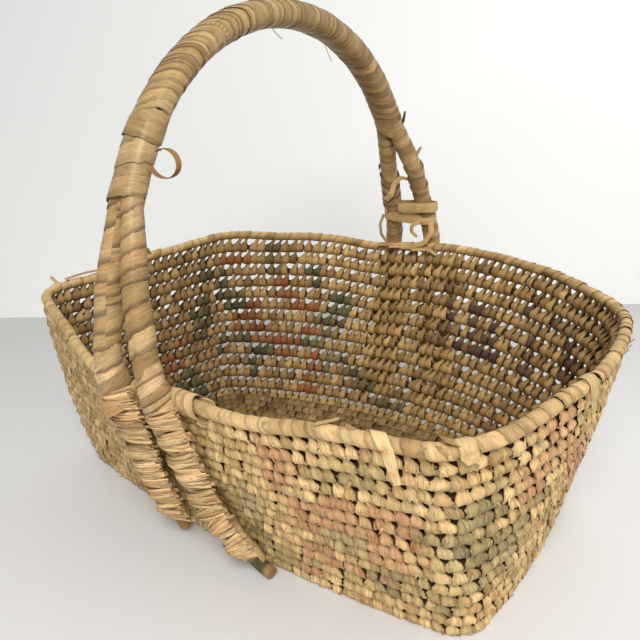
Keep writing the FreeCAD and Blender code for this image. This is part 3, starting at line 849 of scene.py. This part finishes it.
def helix(piece, path, start, end, half_w, half_h, pitch, cover, light, dark, phase=0.0,
          raise_edge=0.5, power=1.0, uneven=0.12, slope=0.0, end_scale=1.0, seam_shade=0.72):
    """A leaf strip wound round a path from one length to another, each turn over the edge of the
    last one. half_w and half_h are the wound section's half sizes."""
    turns = []
    s = start
    while s < end - pitch * 0.5:
        step = pitch * rng.uniform(1 - uneven * 2, 1 + uneven * 2)
        turns.append((s, step))
        s += step
    n, rows = len(turns), 25
    first = np.array([t[0] for t in turns])
    step = np.array([t[1] for t in turns])
    u = np.linspace(0, 1, rows)
    angle = phase + 2 * math.pi * u
    place = first[:, None] + step[:, None] * u[None] + slope * np.cos(angle)[None]
    scale = mix(1.0, end_scale, smooth((place - start) / (end - start) * 2 - 1))
    centre, t, side, out = path.frame(np.clip(place, 0, path.length).ravel())
    shape = (n, rows, 1, 3)
    centre, t, side, out = [v.reshape(shape) for v in (centre, t, side, out)]
    v = SECTION_V[None, None, :]
    width = (step * cover)[:, None] * (1 + 0.05 * rng.normal(size=(n, rows)))
    swell = rng.normal(0, 0.16, n)[:, None, None]
    height = swell + 0.12 * (1 - v**2) - raise_edge * (v - 1) / 2 + WRAP_T * (SECTION_OUT - 0.5)
    ca, sa = np.cos(angle), np.sin(angle)
    ca = np.sign(ca) * np.abs(ca) ** power
    sa = np.sign(sa) * np.abs(sa) ** power
    grow = scale[..., None] + height / math.sqrt(half_w * half_h)
    around = side * (half_w * ca)[None, :, None, None] + out * (half_h * sa)[None, :, None, None]
    grid = centre + around * grow[..., None] + t * (v * width[..., None] / 2)[..., None]
    run = u * 2 * math.pi * math.sqrt(half_w * half_h)
    fib = fibres(v, width, run[None])
    dye = shades(n, light, dark, 0.05)[:, None, None, :]
    dye = dye * (1 + 0.05 * rng.normal(size=(n, 1, len(SECTION_V), 1)))
    # the raised edge of each turn is darkened: a painted shadow along the seam between turns
    painted_seam_shadow = np.where(SECTION_V < -0.8, seam_shade, np.where(SECTION_V < -0.5, 0.92, 1.0))[:, None]
    piece.add(grid, dye * painted_seam_shadow * np.ones((1, rows, 1, 1)), fib, ring=False)


def build_handle():
    rods = [rod_path(k) for k in (0, 1)]
    for number, (name, rod) in enumerate(zip(("left", "right"), rods)):
        piece = Piece("handle_rod_%s_stalk" % name)
        s = np.arange(0, rod.length, 3.0)
        centre, t, side, _ = rod.frame(s)
        dye = np.tile(ROD, (len(s), 1))
        if number:
            dye[(s > 5) & (s < 17)] = DYES["green"]
        tube(piece, centre, t, ROD_R, dye[None, :, None], cols=12, ring=False, side=(0.0, 0.7, 0.7))
        helix(piece, rod, 18, rod.rising(130), 5.4, 5.4, 11.0, 1.25, RAFFIA, HANDLE, raise_edge=0.35)
        piece.make(rod_bark, "rod_wood", "handle_rod_" + name)
    grip = Path(rounded_path([(0, y, z, r) for y, z, r in ARCH]))
    piece = Piece("handle_grip_wrap_leaf")
    helix(piece, grip, 0, 22, 10.1, 8.1, 9.5, 1.35, GRIP, GRIP_DARK, power=0.85, phase=0.6, slope=1.0)
    helix(piece, grip, 19, 44, 9.6, 7.6, 12.5, 1.3, GRIP, GRIP, power=0.85, phase=1.6, slope=1.0)
    helix(piece, grip, 36, 50, 10.3, 8.3, 7.0, 1.7, GRIP, GRIP_DARK, power=0.85, phase=2.6, slope=-2.0)
    helix(piece, grip, 46, grip.length * 0.34, GRIP_W, GRIP_H, 5.2, 1.9, GRIP, GRIP_DARK, power=0.85,
          slope=4.5,
          phase=0.3, uneven=0.3, raise_edge=0.5)
    helix(piece, grip, grip.length * 0.33, grip.length - 4, GRIP_W, GRIP_H, 3.9, 2.1, GRIP, GRIP_DARK,
          power=0.85,
          slope=4.5, phase=2.0, uneven=0.32, raise_edge=0.6)
    hairs(piece, grip)
    piece.make(handle_leaf, "handle_leaf", "handle_grip_wrap")
    for name, rod in zip(("left", "right"), rods):
        z = rod.points[:, 2]
        middle_point = len(z) // 2
        low = rod.s[np.argmax(z > 134)]
        knot = rod.s[np.argmax(z > 156)]
        high = rod.s[np.argmax(z > 250)]
        piece = Piece("front_leg_wrap_%s_leaf" % name)
        helix(piece, rod, low, high, 6.7, 6.7, 10.5, 1.35, HANDLE, HANDLE_DARK, phase=rng.uniform(0, 6),
              uneven=0.22,
              slope=1.8, raise_edge=0.9, end_scale=0.78, seam_shade=0.5)
        helix(piece, rod, low - 22, knot - 3, 9.4, 8.6, 6.0, 1.6, RAFFIA, HANDLE_DARK,
              phase=rng.uniform(0, 6), uneven=0.28,
              slope=3.5, raise_edge=1.3, end_scale=0.8, seam_shade=0.45)
        piece.make(handle_leaf, "handle_leaf", "front_leg_wrap_" + name)
        back = z[middle_point:]
        high = rod.s[middle_point + np.argmax(back < 262)]
        low = rod.s[middle_point + np.argmax(back < 152)]
        piece = Piece("back_leg_wrap_%s_leaf" % name)
        helix(piece, rod, high, low, 6.2, 6.2, 9.0, 1.4, HANDLE, HANDLE_DARK, phase=rng.uniform(0, 6),
              uneven=0.22,
              slope=1.5, raise_edge=0.6)
        if name == "left":
            below = rod.s[middle_point + np.argmax(back < 213)]
            helix(piece, rod, below, below + 24, 7.4, 7.4, 8.0, 0.8, HANDLE, HANDLE_DARK, slope=4.5,
                  raise_edge=0.2)
        piece.make(handle_leaf, "handle_leaf", "back_leg_wrap_" + name)
    return rods


def hairs(piece, grip):
    """Loose threads that stand off the underside of the grip."""
    for s, reach, way in ((95, 13, -1.0), (210, 16, 1.0), (255, 10, 1.0), (330, 9, -1.0), (160, 8, 1.0)):
        centre, t, side, out = [v[0] for v in grip.frame(np.array([float(s)]))]
        u = np.linspace(0, 1, 8)[:, None]
        down = np.array([0, 0, -1.0])
        path = centre + side * 4.0 * way + down * (7.0 + reach * u) + t * (5.0 * way * u**2)
        path = path + side * way * 4 * u
        ribbon(piece, path[None], np.tile(side, (1, 8, 1)), 0.55, 0.35, HANDLE_DARK * 0.8)


def fans(rods):
    """The bunches of raffia that hold the lower rods to the wall, with their cut ends spread."""
    for end, wall_side in (("front", -1.0), ("back", 1.0)):
        for number, name in enumerate(("left", "right")):
            rod = rods[number]
            piece = Piece("%s_lashings_%s_raffia" % (end, name))
            z = rod.points[:, 2]
            half = len(z) // 2
            rim = rod.s[np.argmax(z > 134)] if end == "front" else rod.s[half + np.argmax(z[half:] < 137)]
            foot = 19.0 + 4.0 * number if end == "front" else rod.length - 12.0
            for k in range(8):
                s = mix(foot, rim, (k + 0.5 + rng.uniform(-0.1, 0.1)) / 8.0)
                bunch(piece, rod, s, wall_side, frayed=(k == 0 and end == "front"))
                green = DYES["green"] if (end, name, k) == ("front", "right", 6) else None
                binder(piece, rod, mix(foot, rim, (k + 1.0) / 8.0), wall_side, green)
            piece.make(raffia_leaf, "raffia", "%s_lashings_%s" % (end, name))


def rod_frame(rod, s, wall_side):
    """Centre, upward direction, sideways and away from the wall on a rod."""
    centre, t, _, _ = rod.frame(np.clip(s, 3, rod.length - 3))
    t = t * np.sign(t[..., 2:])
    side = unit(np.array([1.0, 0, 0]) - t * t[..., :1])
    out = np.cross(t, side)
    out *= np.sign(np.sum(out * np.array([0, wall_side, 0]), -1, keepdims=True))
    return centre, t, side, out


def binder(piece, rod, s, wall_side, dye=None):
    """A smooth strip of leaf that crosses the rod between two bunches."""
    rows = 22
    centre, t, side, out = rod_frame(rod, np.full(rows, s), wall_side)
    angle = np.radians(np.linspace(200, -20, rows))
    rho = 7.4 + 0.8 * np.sin(angle)
    drop = -rng.uniform(3.0, 7.0) * np.cos(angle)
    path = centre + (rho * np.cos(angle))[:, None] * side + (rho * np.sin(angle))[:,
                                                                                  None] * out + drop[:,
                                                                                                     None] * t
    path[:, 2] = np.maximum(path[:, 2], 0.8)
    face = np.cos(angle)[:, None] * side + np.sin(angle)[:, None] * out
    width = rng.uniform(5.0, 7.0) * (1 + 0.05 * rng.normal(size=rows))
    leaf = shades(1, RAFFIA, HANDLE_DARK, 0.06)[None]
    ribbon(piece, path[None], face[None], width[None], 0.5, leaf if dye is None else dye, cup=0.25)


def spline(points, rows):
    """Smooth curves, (n, rows, 3), drawn by control points, (k, n, 3)."""
    k = len(points)
    u = np.linspace(0, k - 3 - 1e-6, rows)
    first = u.astype(int)
    t = (u - first)[:, None, None]
    a, b, c, d = [points[first + n] for n in range(4)]
    curve = (1 - t) ** 3 * a + (3 * t**3 - 6 * t**2 + 4) * b
    curve = curve + (-3 * t**3 + 3 * t**2 + 3 * t + 1) * c + t**3 * d
    return (curve / 6).transpose(1, 0, 2)


def bunch(piece, rod, s, wall_side, frayed=False):
    """One bunch: flat strips laid side by side across the rod, spreading to cut ends beside the wall."""
    n, rows = 30, 18
    spread = np.linspace(-1, 1, n) + rng.normal(0, 0.12, n)
    layer = rng.uniform(0, 1, n)
    centre, t, side, out = [v[:, None] for v in rod_frame(rod, np.full(n, s), wall_side)]
    reach = rng.normal(rng.normal(6.5, 1.0), 1.7, n).clip(1, 12)
    high = 7.4 + 2.6 * layer + 1.6 * (1 - spread**2)
    lean = rng.normal(10.0, 2.0)
    lift = rng.normal(0, 0.9)
    across = np.stack([np.full(n, -4.0), np.full(n, -9.0), np.full(n, -10.5), np.full(n, -6.0),
                       np.full(n, 1.0),
                       np.full(n, 7.0), 11.5 + 0.5 * reach, 14.0 + reach, 17.0 + 1.4 * reach])
    above = np.stack([np.full(n, -8.0), np.full(n, -4.0), 1.0 + layer, high - 2.0, high + 0.6, high,
                      high - 2.5 + rng.normal(0, 0.5, n), high - 5.0 + rng.normal(0, 1.0, n),
                      high - 7.0 + rng.normal(0, 1.5, n)])
    fan = np.array([2.2, 2.4, 2.8, 3.8, 4.8, 5.8, 6.8, 7.4, 8.0])[:, None] * spread
    tilt = np.linspace(-0.5, 0.9, 9)[:, None] * (lean + rng.normal(0, 0.5, n))
    climb = fan + lift + tilt - (np.linspace(0, 1, 9)[:, None] ** 2 * rng.uniform(2, 12,
                                                                                  n) if frayed else 0.0)
    points = centre.transpose(1, 0, 2) + across[..., None] * side.transpose(1, 0, 2)
    points = points + above[..., None] * out.transpose(1, 0, 2) + climb[..., None] * t.transpose(1, 0, 2)
    path = spline(points, rows)
    path[..., 2] = np.maximum(path[..., 2], 0.8)
    ahead = unit(np.gradient(path, axis=1))
    face = unit(np.cross(ahead, t)) * np.sign(np.sum(np.cross(ahead, t) * out, -1,
                                                     keepdims=True)[:, rows // 2:rows // 2 + 1])
    face = face + rng.normal(0, 0.18, (n, 1, 3))
    width = rng.uniform(1.1, 3.2, n)[:, None] * (1 + 0.04 * rng.normal(size=(n, rows)))
    # strands lying under the others are darkened, a painted shade; along each strand, painted shade where it
    # runs behind the rod, lighter towards the cut tips
    dye = shades(n, RAFFIA, RAFFIA_DARK, 0.16)[:, None] * (1 - 0.4 * (1 - layer[:, None, None]))
    dye = dye * mix(0.7, 1.1, smooth(np.linspace(-0.2, 1.1, rows)))[None, :, None]
    ribbon(piece, path, unit(face), width, 0.45, dye, cup=0.22)


def loop_path(centre, half_x, half_y, power, tilt, start, turn, rows, rise=0.0):
    a = np.linspace(start, start + turn, rows)
    ca, sa = np.cos(a), np.sin(a)
    x = half_x * np.sign(ca) * np.abs(ca) ** power
    y = half_y * np.sign(sa) * np.abs(sa) ** power
    z = x * math.tan(math.radians(tilt)) + rise * np.linspace(-0.5, 0.5, rows)
    face = np.stack([ca / half_x, sa / half_y, np.zeros(rows)], 1)
    return centre + np.stack([x, y, z], 1), unit(face)


def curl(piece, start, way, reach, height, width):
    """A short loose strip that leaves the rim and curls up at its end."""
    u = np.linspace(0, 1, 16)[:, None]
    turn = u * 3.9
    path = start + way * reach * np.sin(turn * 0.55) * (1 - 0.25 * u) + UP * height * (u - 0.6 * u**3)
    side = np.cross(way, UP)
    face = unit(np.cross(side, way) + 0.01 * UP)
    ribbon(piece, path[None], np.tile(face, (1, 16, 1)), (width * (1 - 0.6 * u[:, 0] ** 2))[None], 0.6,
           shades(1, HANDLE, HANDLE_DARK)[None], cup=0.1)


def long_splint(piece, rim):
    """A flat strip that lies along the left end of the rim."""
    far = np.linalg.norm(rim.points[:, :2] - np.array([-183.0, -38.0]), axis=1).argmin()
    s = rim.s[far] + np.linspace(-24, 26, 24)
    path = rim.at(s) + UP * (rim_radius(rim.at(s)) + 1.2)[:, None]
    path[:, 2] += 1.5 * np.sin(np.linspace(0, 5, 24)) + 0.6
    ribbon(piece, path[None], np.tile(UP, (1, 24, 1)), (5.5 + rng.normal(0, 0.2, (1, 24))), 0.8,
           shades(1, HANDLE, HANDLE_DARK)[None])


def rim_roll(piece, rim, x, radius, length):
    """Extra turns of leaf round the front of the rim at x."""
    points = rim.points
    near = np.where(points[:, 1] < 0, np.abs(points[:, 0] - x), 1e9).argmin()
    s = rim.s[near] + np.arange(-length / 2, length / 2, 2.0)
    roll = Path(rim.at(s), side=(0, 0, 1))
    helix(piece, roll, 2, roll.length - 2, radius, radius * 0.9, 7.0, 1.5, RAFFIA, HANDLE, phase=1.0,
          uneven=0.2,
          slope=2.5, raise_edge=0.4, seam_shade=0.7)


def cross_wraps(piece, rim):
    """A broad leaf strip that ties the left front leg down over the rim."""
    for leg_x, ends, low in ((-15.0, (-3.0,), 121.0),):
        for k, x in enumerate(ends):
            z = low + 5.5 * k + rng.uniform(-1, 1)
            near = np.where(rim.points[:, 1] < 0, np.abs(rim.points[:, 0] - x), 1e9).argmin()
            over = rim.points[near]
            high = over[2] + 5.6
            corners = [
                (leg_x - 7.0, -137.0, z - 4, 0), (leg_x - 8.0, -149.0, z - 2, 4),
                (leg_x + 1.0, -155.5, z + 2, 6),
                (leg_x + 8.5, -150.5, z + 6, 6), (x + 1, over[1] - 6.5, high - 7, 4),
                (x + 2, over[1] - 4.5, high, 3),
                (x + 2, over[1] + 5.5, high, 3), (x + 2, over[1] + 6.0, high - 9, 0),
            ]
            path = rounded_path(corners, 1.2)
            path = path + rng.normal(0, 0.06, path.shape)
            face = path - np.array([leg_x + 4, over[1] - 2, over[2] - 8])
            face = unit(face * [1, 1, 0.6])
            width = rng.uniform(8.5, 9.5) * (1 + 0.05 * rng.normal(size=len(path)))
            ribbon(piece, path[None], face[None], width[None], 0.7,
                   shades(1, RAFFIA_DARK, HANDLE_DARK, 0.05)[None], cup=0.25)


def node_centre(name):
    low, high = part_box(name)
    return np.array([(a + b) / 2 for a, b in zip(low, high)]) / MM


def loose_strip(piece, corners, width, face, dye):
    path = rounded_path(corners, 1.0)
    taper = width * (1 - 0.5 * np.linspace(0, 1, len(path)) ** 3)
    ribbon(piece, path[None], np.tile(unit(np.array(face)), (1, len(path), 1)), taper[None], 0.6, dye,
           cup=0.2)


def twists(piece):
    """Loose turns of leaf on the back legs above the tie bands."""
    loose_strip(piece, [(-14.0, 141.5, 193.0, 0), (-8.0, 140.5, 198.0, 4), (-5.0, 141.0, 207.0, 4),
                        (1.0, 142.0, 213.0, 3), (7.0, 142.0, 212.0, 0)], 4.6,
                (0.3, -1.0, -0.2), shades(1, HANDLE, OUTSIDE_DARK)[None])
    rod = rod_path(0)
    back = len(rod.points) // 2
    for z, lean, wide in ((188.0, 2.0, 7.3), (193.0, 1.0, 7.6), (198.0, 2.5, 7.1), (214.0, 5.0, 7.4)):
        s = rod.s[back + np.argmax(rod.points[back:, 2] < z)]
        helix(piece, rod, s - 3.5, s + 3.5, wide, wide, 6.0, 0.62, HANDLE, HANDLE_DARK, slope=lean,
              phase=rng.uniform(2, 4))
    rod = rod_path(1)
    back = len(rod.points) // 2
    for z, lean in ((208.0, 3.0), (222.0, 4.0)):
        s = rod.s[back + np.argmax(rod.points[back:, 2] < z)]
        helix(piece, rod, s - 3.5, s + 3.5, 7.0, 7.0, 6.5, 0.8, HANDLE, HANDLE_DARK, slope=lean,
              phase=rng.uniform(2, 4))
    loose_strip(piece, [(13.0, 138.0, 232.0, 0), (19.0, 137.0, 234.0, 2), (22.0, 138.0, 239.0, 0)], 3.5,
                (0.2, -1.0, 0.3), shades(1, HANDLE, HANDLE_DARK)[None])
    loose_strip(piece, [(9.0, 128.0, 256.0, 0), (12.5, 127.0, 260.0, 2), (14.0, 127.0, 267.0, 0)], 2.6,
                (0.2, -1.0, 0.1), DYES["green"] * 0.6)


def foot_curls(piece):
    """Curled ends of leaf where the right back leg meets the rim."""
    loose_strip(piece, [(21.0, 156.0, 177.0, 0), (25.0, 151.0, 168.0, 5), (19.0, 149.0, 158.0, 8),
                        (2.0, 149.0, 152.0, 6), (-12.0, 149.0, 153.0, 0)], 4.5, (0.2, -1.0, 0.3),
                shades(1, HANDLE, OUTSIDE_DARK)[None])
    loose_strip(piece, [(14.0, 150.0, 176.0, 0), (8.0, 148.0, 172.0, 3), (7.0, 148.0, 167.0, 3),
                        (13.0, 148.0, 163.0, 0)], 4.0, (0.0, -1.0, 0.3),
                        shades(1, HANDLE, HANDLE_DARK)[None])
    loose_strip(piece, [(-27.0, 158.0, 176.0, 0), (-29.0, 155.0, 168.0, 5), (-26.0, 152.0, 160.0, 5),
                        (-18.0, 150.0, 153.0, 0)], 4.5, (-0.5, -1.0, 0.3),
                        shades(1, HANDLE, HANDLE_DARK)[None])
    for k in range(4):
        x = -30.0 + 11.0 * k
        loose_strip(piece, [(x, 152.0, 146.0, 0), (x + 4, 148.5, 151.5, 4), (x + 20.0, 150.0, 153.0, 4),
                            (x + 26.0, 153.0, 148.0, 0)], 5.0, (0.0, -0.6, 1.0),
                            shades(1, HANDLE, INSIDE_DARK)[None])


def build_splints(rim):
    for name, tilt, rise, start, turn in (("lower", -2.0, 2.5, 200, 395), ("upper", 4.0, -2.0, 258, 318)):
        centre = node_centre("back_tie_band_" + name)
        piece = Piece("back_tie_band_%s_strip" % name)
        path, face = loop_path(centre, 24.0, 9.5, 0.8, tilt, math.radians(start), math.radians(turn), 60,
                               rise)
        if name == "upper":
            path[:, 0] += 3.0
            path[:, 2] -= 2.5
        ribbon(piece, path[None], face[None], 8.0 + rng.normal(0, 0.15, (1, 60)), 0.9,
               shades(1, HANDLE, OUTSIDE_DARK)[None], cup=0.1)
        if name == "upper":
            twists(piece)
        else:
            foot_curls(piece)
        piece.make(splint_leaf, "splint", "back_tie_band_" + name)
    centre = node_centre("grip_loose_end")
    piece = Piece("grip_loose_end_strip")
    path, face = loop_path(np.zeros(3), 10.5, 7.5, 1.0, 0, math.radians(190), math.radians(300), 40)
    path = np.stack([path[:, 0], path[:, 2] - 2 + 3 * np.linspace(0, 1, 40), path[:, 1]], 1) + centre
    face = np.stack([face[:, 0], face[:, 2], face[:, 1]], 1)
    ribbon(piece, path[None], face[None], 3.8, 0.6, shades(1, HANDLE_DARK, INSIDE_DARK)[None])
    piece.make(splint_leaf, "splint", "grip_loose_end")
    for name, drop, skew, width in (("front", 16.0, -19.0, 6.5), ("corner", 4.0, -3.0, 9.0),
                                    ("right", 9.0, 4.0, 8.0), ("left", 7.0, -5.0, 7.5)):
        c = node_centre("rim_splint_" + name)
        s = rim.s[np.linalg.norm(rim.points[:, :2] - c[:2], axis=1).argmin()]
        p, along = rim.at(s), rim.tangent(s)
        out = unit(np.cross(along, UP))
        out *= np.sign(np.sum(out * (p - middle)))
        radius = rim_radius(p[None])[0] + 1.0
        a = np.radians(np.linspace(215, -8, 30))
        path = p + radius * (np.cos(a)[:, None] * out + np.sin(a)[:, None] * UP)
        face = np.cos(a)[:, None] * out + np.sin(a)[:, None] * UP
        u = np.linspace(0.1, 1, 12)[:, None]
        tail = path[-1] + out * (0.8 * np.sin(u * 3) + 1.2 * u**3) - UP * drop * u
        path = np.concatenate([path, tail])
        face = np.concatenate([face, np.tile(out, (12, 1))])
        path = path + along * (np.linspace(-0.5, 0.5, len(path))[:, None] * skew)
        piece = Piece("rim_splint_%s_strip" % name)
        taper = np.r_[np.full(32, 1.0), np.linspace(0.97, 0.55, 10)] * width + rng.normal(0, 0.12, 42)
        ribbon(piece, path[None], face[None], taper[None], 0.7, shades(1, OUTSIDE, HANDLE)[None], cup=0.15)
        if name == "left":
            long_splint(piece, rim)
            nub = rim.points[np.linalg.norm(rim.points[:, :2] - np.array([-167.0, 6.0]), axis=1).argmin()]
            curl(piece, nub + [0, 0, 1.0], unit(np.array([0.5, -0.6, 0.3])), 6.0, 13.0, 8.0)
            end = rim.points[rim.points[:, 0].argmin()]
            curl(piece, end + [-2.0, 0, 0], np.array([-0.95, -0.3, 0.0]), 10.0, 15.0, 4.0)
        if name == "right":
            for shift in (38.0, 44.0, 52.0):
                curl(piece, rim.at(s - shift) + [4.0, 0, 2.0], np.array([0.9, 0.1, 0.2]), 4.0, 6.0, 0.8)
        if name == "corner":
            curl(piece, p + along * 3 + UP * 3.5, unit(along + UP * 0.25), 10.0, 5.0, 7.5)
            curl(piece, p + along * 22 + UP * 3.0, unit(out - along * 0.5 + UP * 0.4), 5.0, 5.0, 3.5)
        if name == "front":
            curl(piece, p + along * 34 + UP * 3.2, unit(-along - out * 0.3 + UP * 0.15), 14.0, 3.5, 3.5)
            curl(piece, p + along * 12 + UP * 3.0, unit(along - out * 0.2 + UP * 0.1), 8.0, 3.0, 3.0)
        piece.make(splint_leaf, "splint", "rim_splint_" + name)


walls = build_bowl()
rods = build_handle()
fans(rods)
build_splints(walls[-1])


# ---- stage --------------------------------------------------------------------------------------

def shade_graded_paint(name, near, far, roughness, way, start, length):
    """Paint that changes evenly from one grey to another along a direction in the room: a painted shade that
    stands in for the light falling off across the floor and the backdrop.
    """
    material = bpy.data.materials.new(name)
    material.use_nodes = True
    tree = material.node_tree
    shader = tree.nodes["Principled BSDF"]
    shader.inputs["Roughness"].default_value = roughness
    place = node(tree, "ShaderNodeTexCoord")
    dot = node(tree, "ShaderNodeVectorMath", operation="DOT_PRODUCT")
    tree.links.new(place.outputs["Object"], dot.inputs[0])
    dot.inputs[1].default_value = way
    part = math_node(tree, "MULTIPLY", math_node(tree, "SUBTRACT", dot.outputs["Value"], start),
                     1.0 / length, True)
    blend = node(tree, "ShaderNodeMix", data_type="RGBA")
    tree.links.new(part, blend.inputs[0])
    blend.inputs[6].default_value = (*near, 1)
    blend.inputs[7].default_value = (*far, 1)
    tree.links.new(blend.outputs[2], shader.inputs["Base Color"])
    clear = node(tree, "ShaderNodeBsdfTransparent")
    side = node(tree, "ShaderNodeNewGeometry")
    choose = node(tree, "ShaderNodeMixShader")
    tree.links.new(side.outputs["Backfacing"], choose.inputs[0])
    tree.links.new(shader.outputs[0], choose.inputs[1])
    tree.links.new(clear.outputs[0], choose.inputs[2])
    tree.links.new(choose.outputs[0], tree.nodes["Material Output"].inputs[0])
    return material


def quad(name, corners, material):
    mesh = bpy.data.meshes.new(name)
    mesh.from_pydata(corners, [], [(0, 1, 2, 3)])
    mesh.materials.append(material)
    made = bpy.data.objects.new(name, mesh)
    bpy.context.scene.collection.objects.link(made)
    return made


# the floor is painted darker towards the back left: painted shade
quad("floor", [(-4, -4, 0), (4, -4, 0), (4, 4, 0), (-4, 4, 0)],
     shade_graded_paint("floor_painted_shade", (0.72, 0.715, 0.71), (0.55, 0.55, 0.54), 0.55, (-0.6, 0.75, 0.0), 0.02, 0.30))
AZ, EL, ROLL = math.radians(39.21), math.radians(20.80), math.radians(-2.46)
eye = np.array([0.3353, -0.3797, 0.3314]) * 0.95
flat = np.array([-math.sin(AZ - 0.061), math.cos(AZ - 0.061), 0.0])
across = np.array([flat[1], -flat[0], 0.0])
foot = eye * [1, 1, 0] + flat * 0.86
ends = [foot - across * 4, foot + across * 4]
# the backdrop is painted darker towards its top and left: painted shade
quad("backdrop", [tuple(ends[0]), tuple(ends[1]), tuple(ends[1] + UP * 4), tuple(ends[0] + UP * 4)],
     shade_graded_paint("backdrop_painted_shade", (0.89, 0.895, 0.88), (0.50, 0.51, 0.50), 0.8, (-0.6, -0.5, 1.3), 0.22, 0.95))

forward = np.array([-math.sin(AZ) * math.cos(EL), math.cos(AZ) * math.cos(EL), -math.sin(EL)])
right = unit(np.cross(forward, UP))
top = np.cross(right, forward)
turned_right = right * math.cos(ROLL) + top * math.sin(ROLL)
turned_top = -right * math.sin(ROLL) + top * math.cos(ROLL)
camera = bpy.data.objects.new("camera", bpy.data.cameras.new("camera"))
camera.data.sensor_width = 36.0
camera.data.lens = 36.0 * 715.0 / 640.0
camera.data.clip_start = 0.01
turn = Matrix([[turned_right[k], turned_top[k], -forward[k]] for k in range(3)])
camera.matrix_world = Matrix.Translation(Vector(eye)) @ turn.to_4x4()
bpy.context.scene.collection.objects.link(camera)
bpy.context.scene.camera = camera


def area_light(name, place, target, size, power, colour=(1, 1, 1)):
    light = bpy.data.lights.new(name, "AREA")
    light.shape = "SQUARE"
    light.size = size
    light.energy = power
    light.color = colour
    made = bpy.data.objects.new(name, light)
    made.location = place
    made.rotation_euler = (Vector(target) - Vector(place)).to_track_quat("-Z", "Y").to_euler()
    bpy.context.scene.collection.objects.link(made)


area_light("key", (0.80, -1.0, 1.25), (0, 0, 0.1), 0.7, 26)
area_light("fill", (1.2, 0.3, 1.0), (0, 0, 0.1), 1.0, 4)
world = bpy.data.worlds.new("world")
world.use_nodes = True
world.node_tree.nodes["Background"].inputs[0].default_value = (1, 1, 1, 1)
world.node_tree.nodes["Background"].inputs[1].default_value = 0.38
bpy.context.scene.world = world
bpy.context.scene.view_settings.view_transform = "Standard"
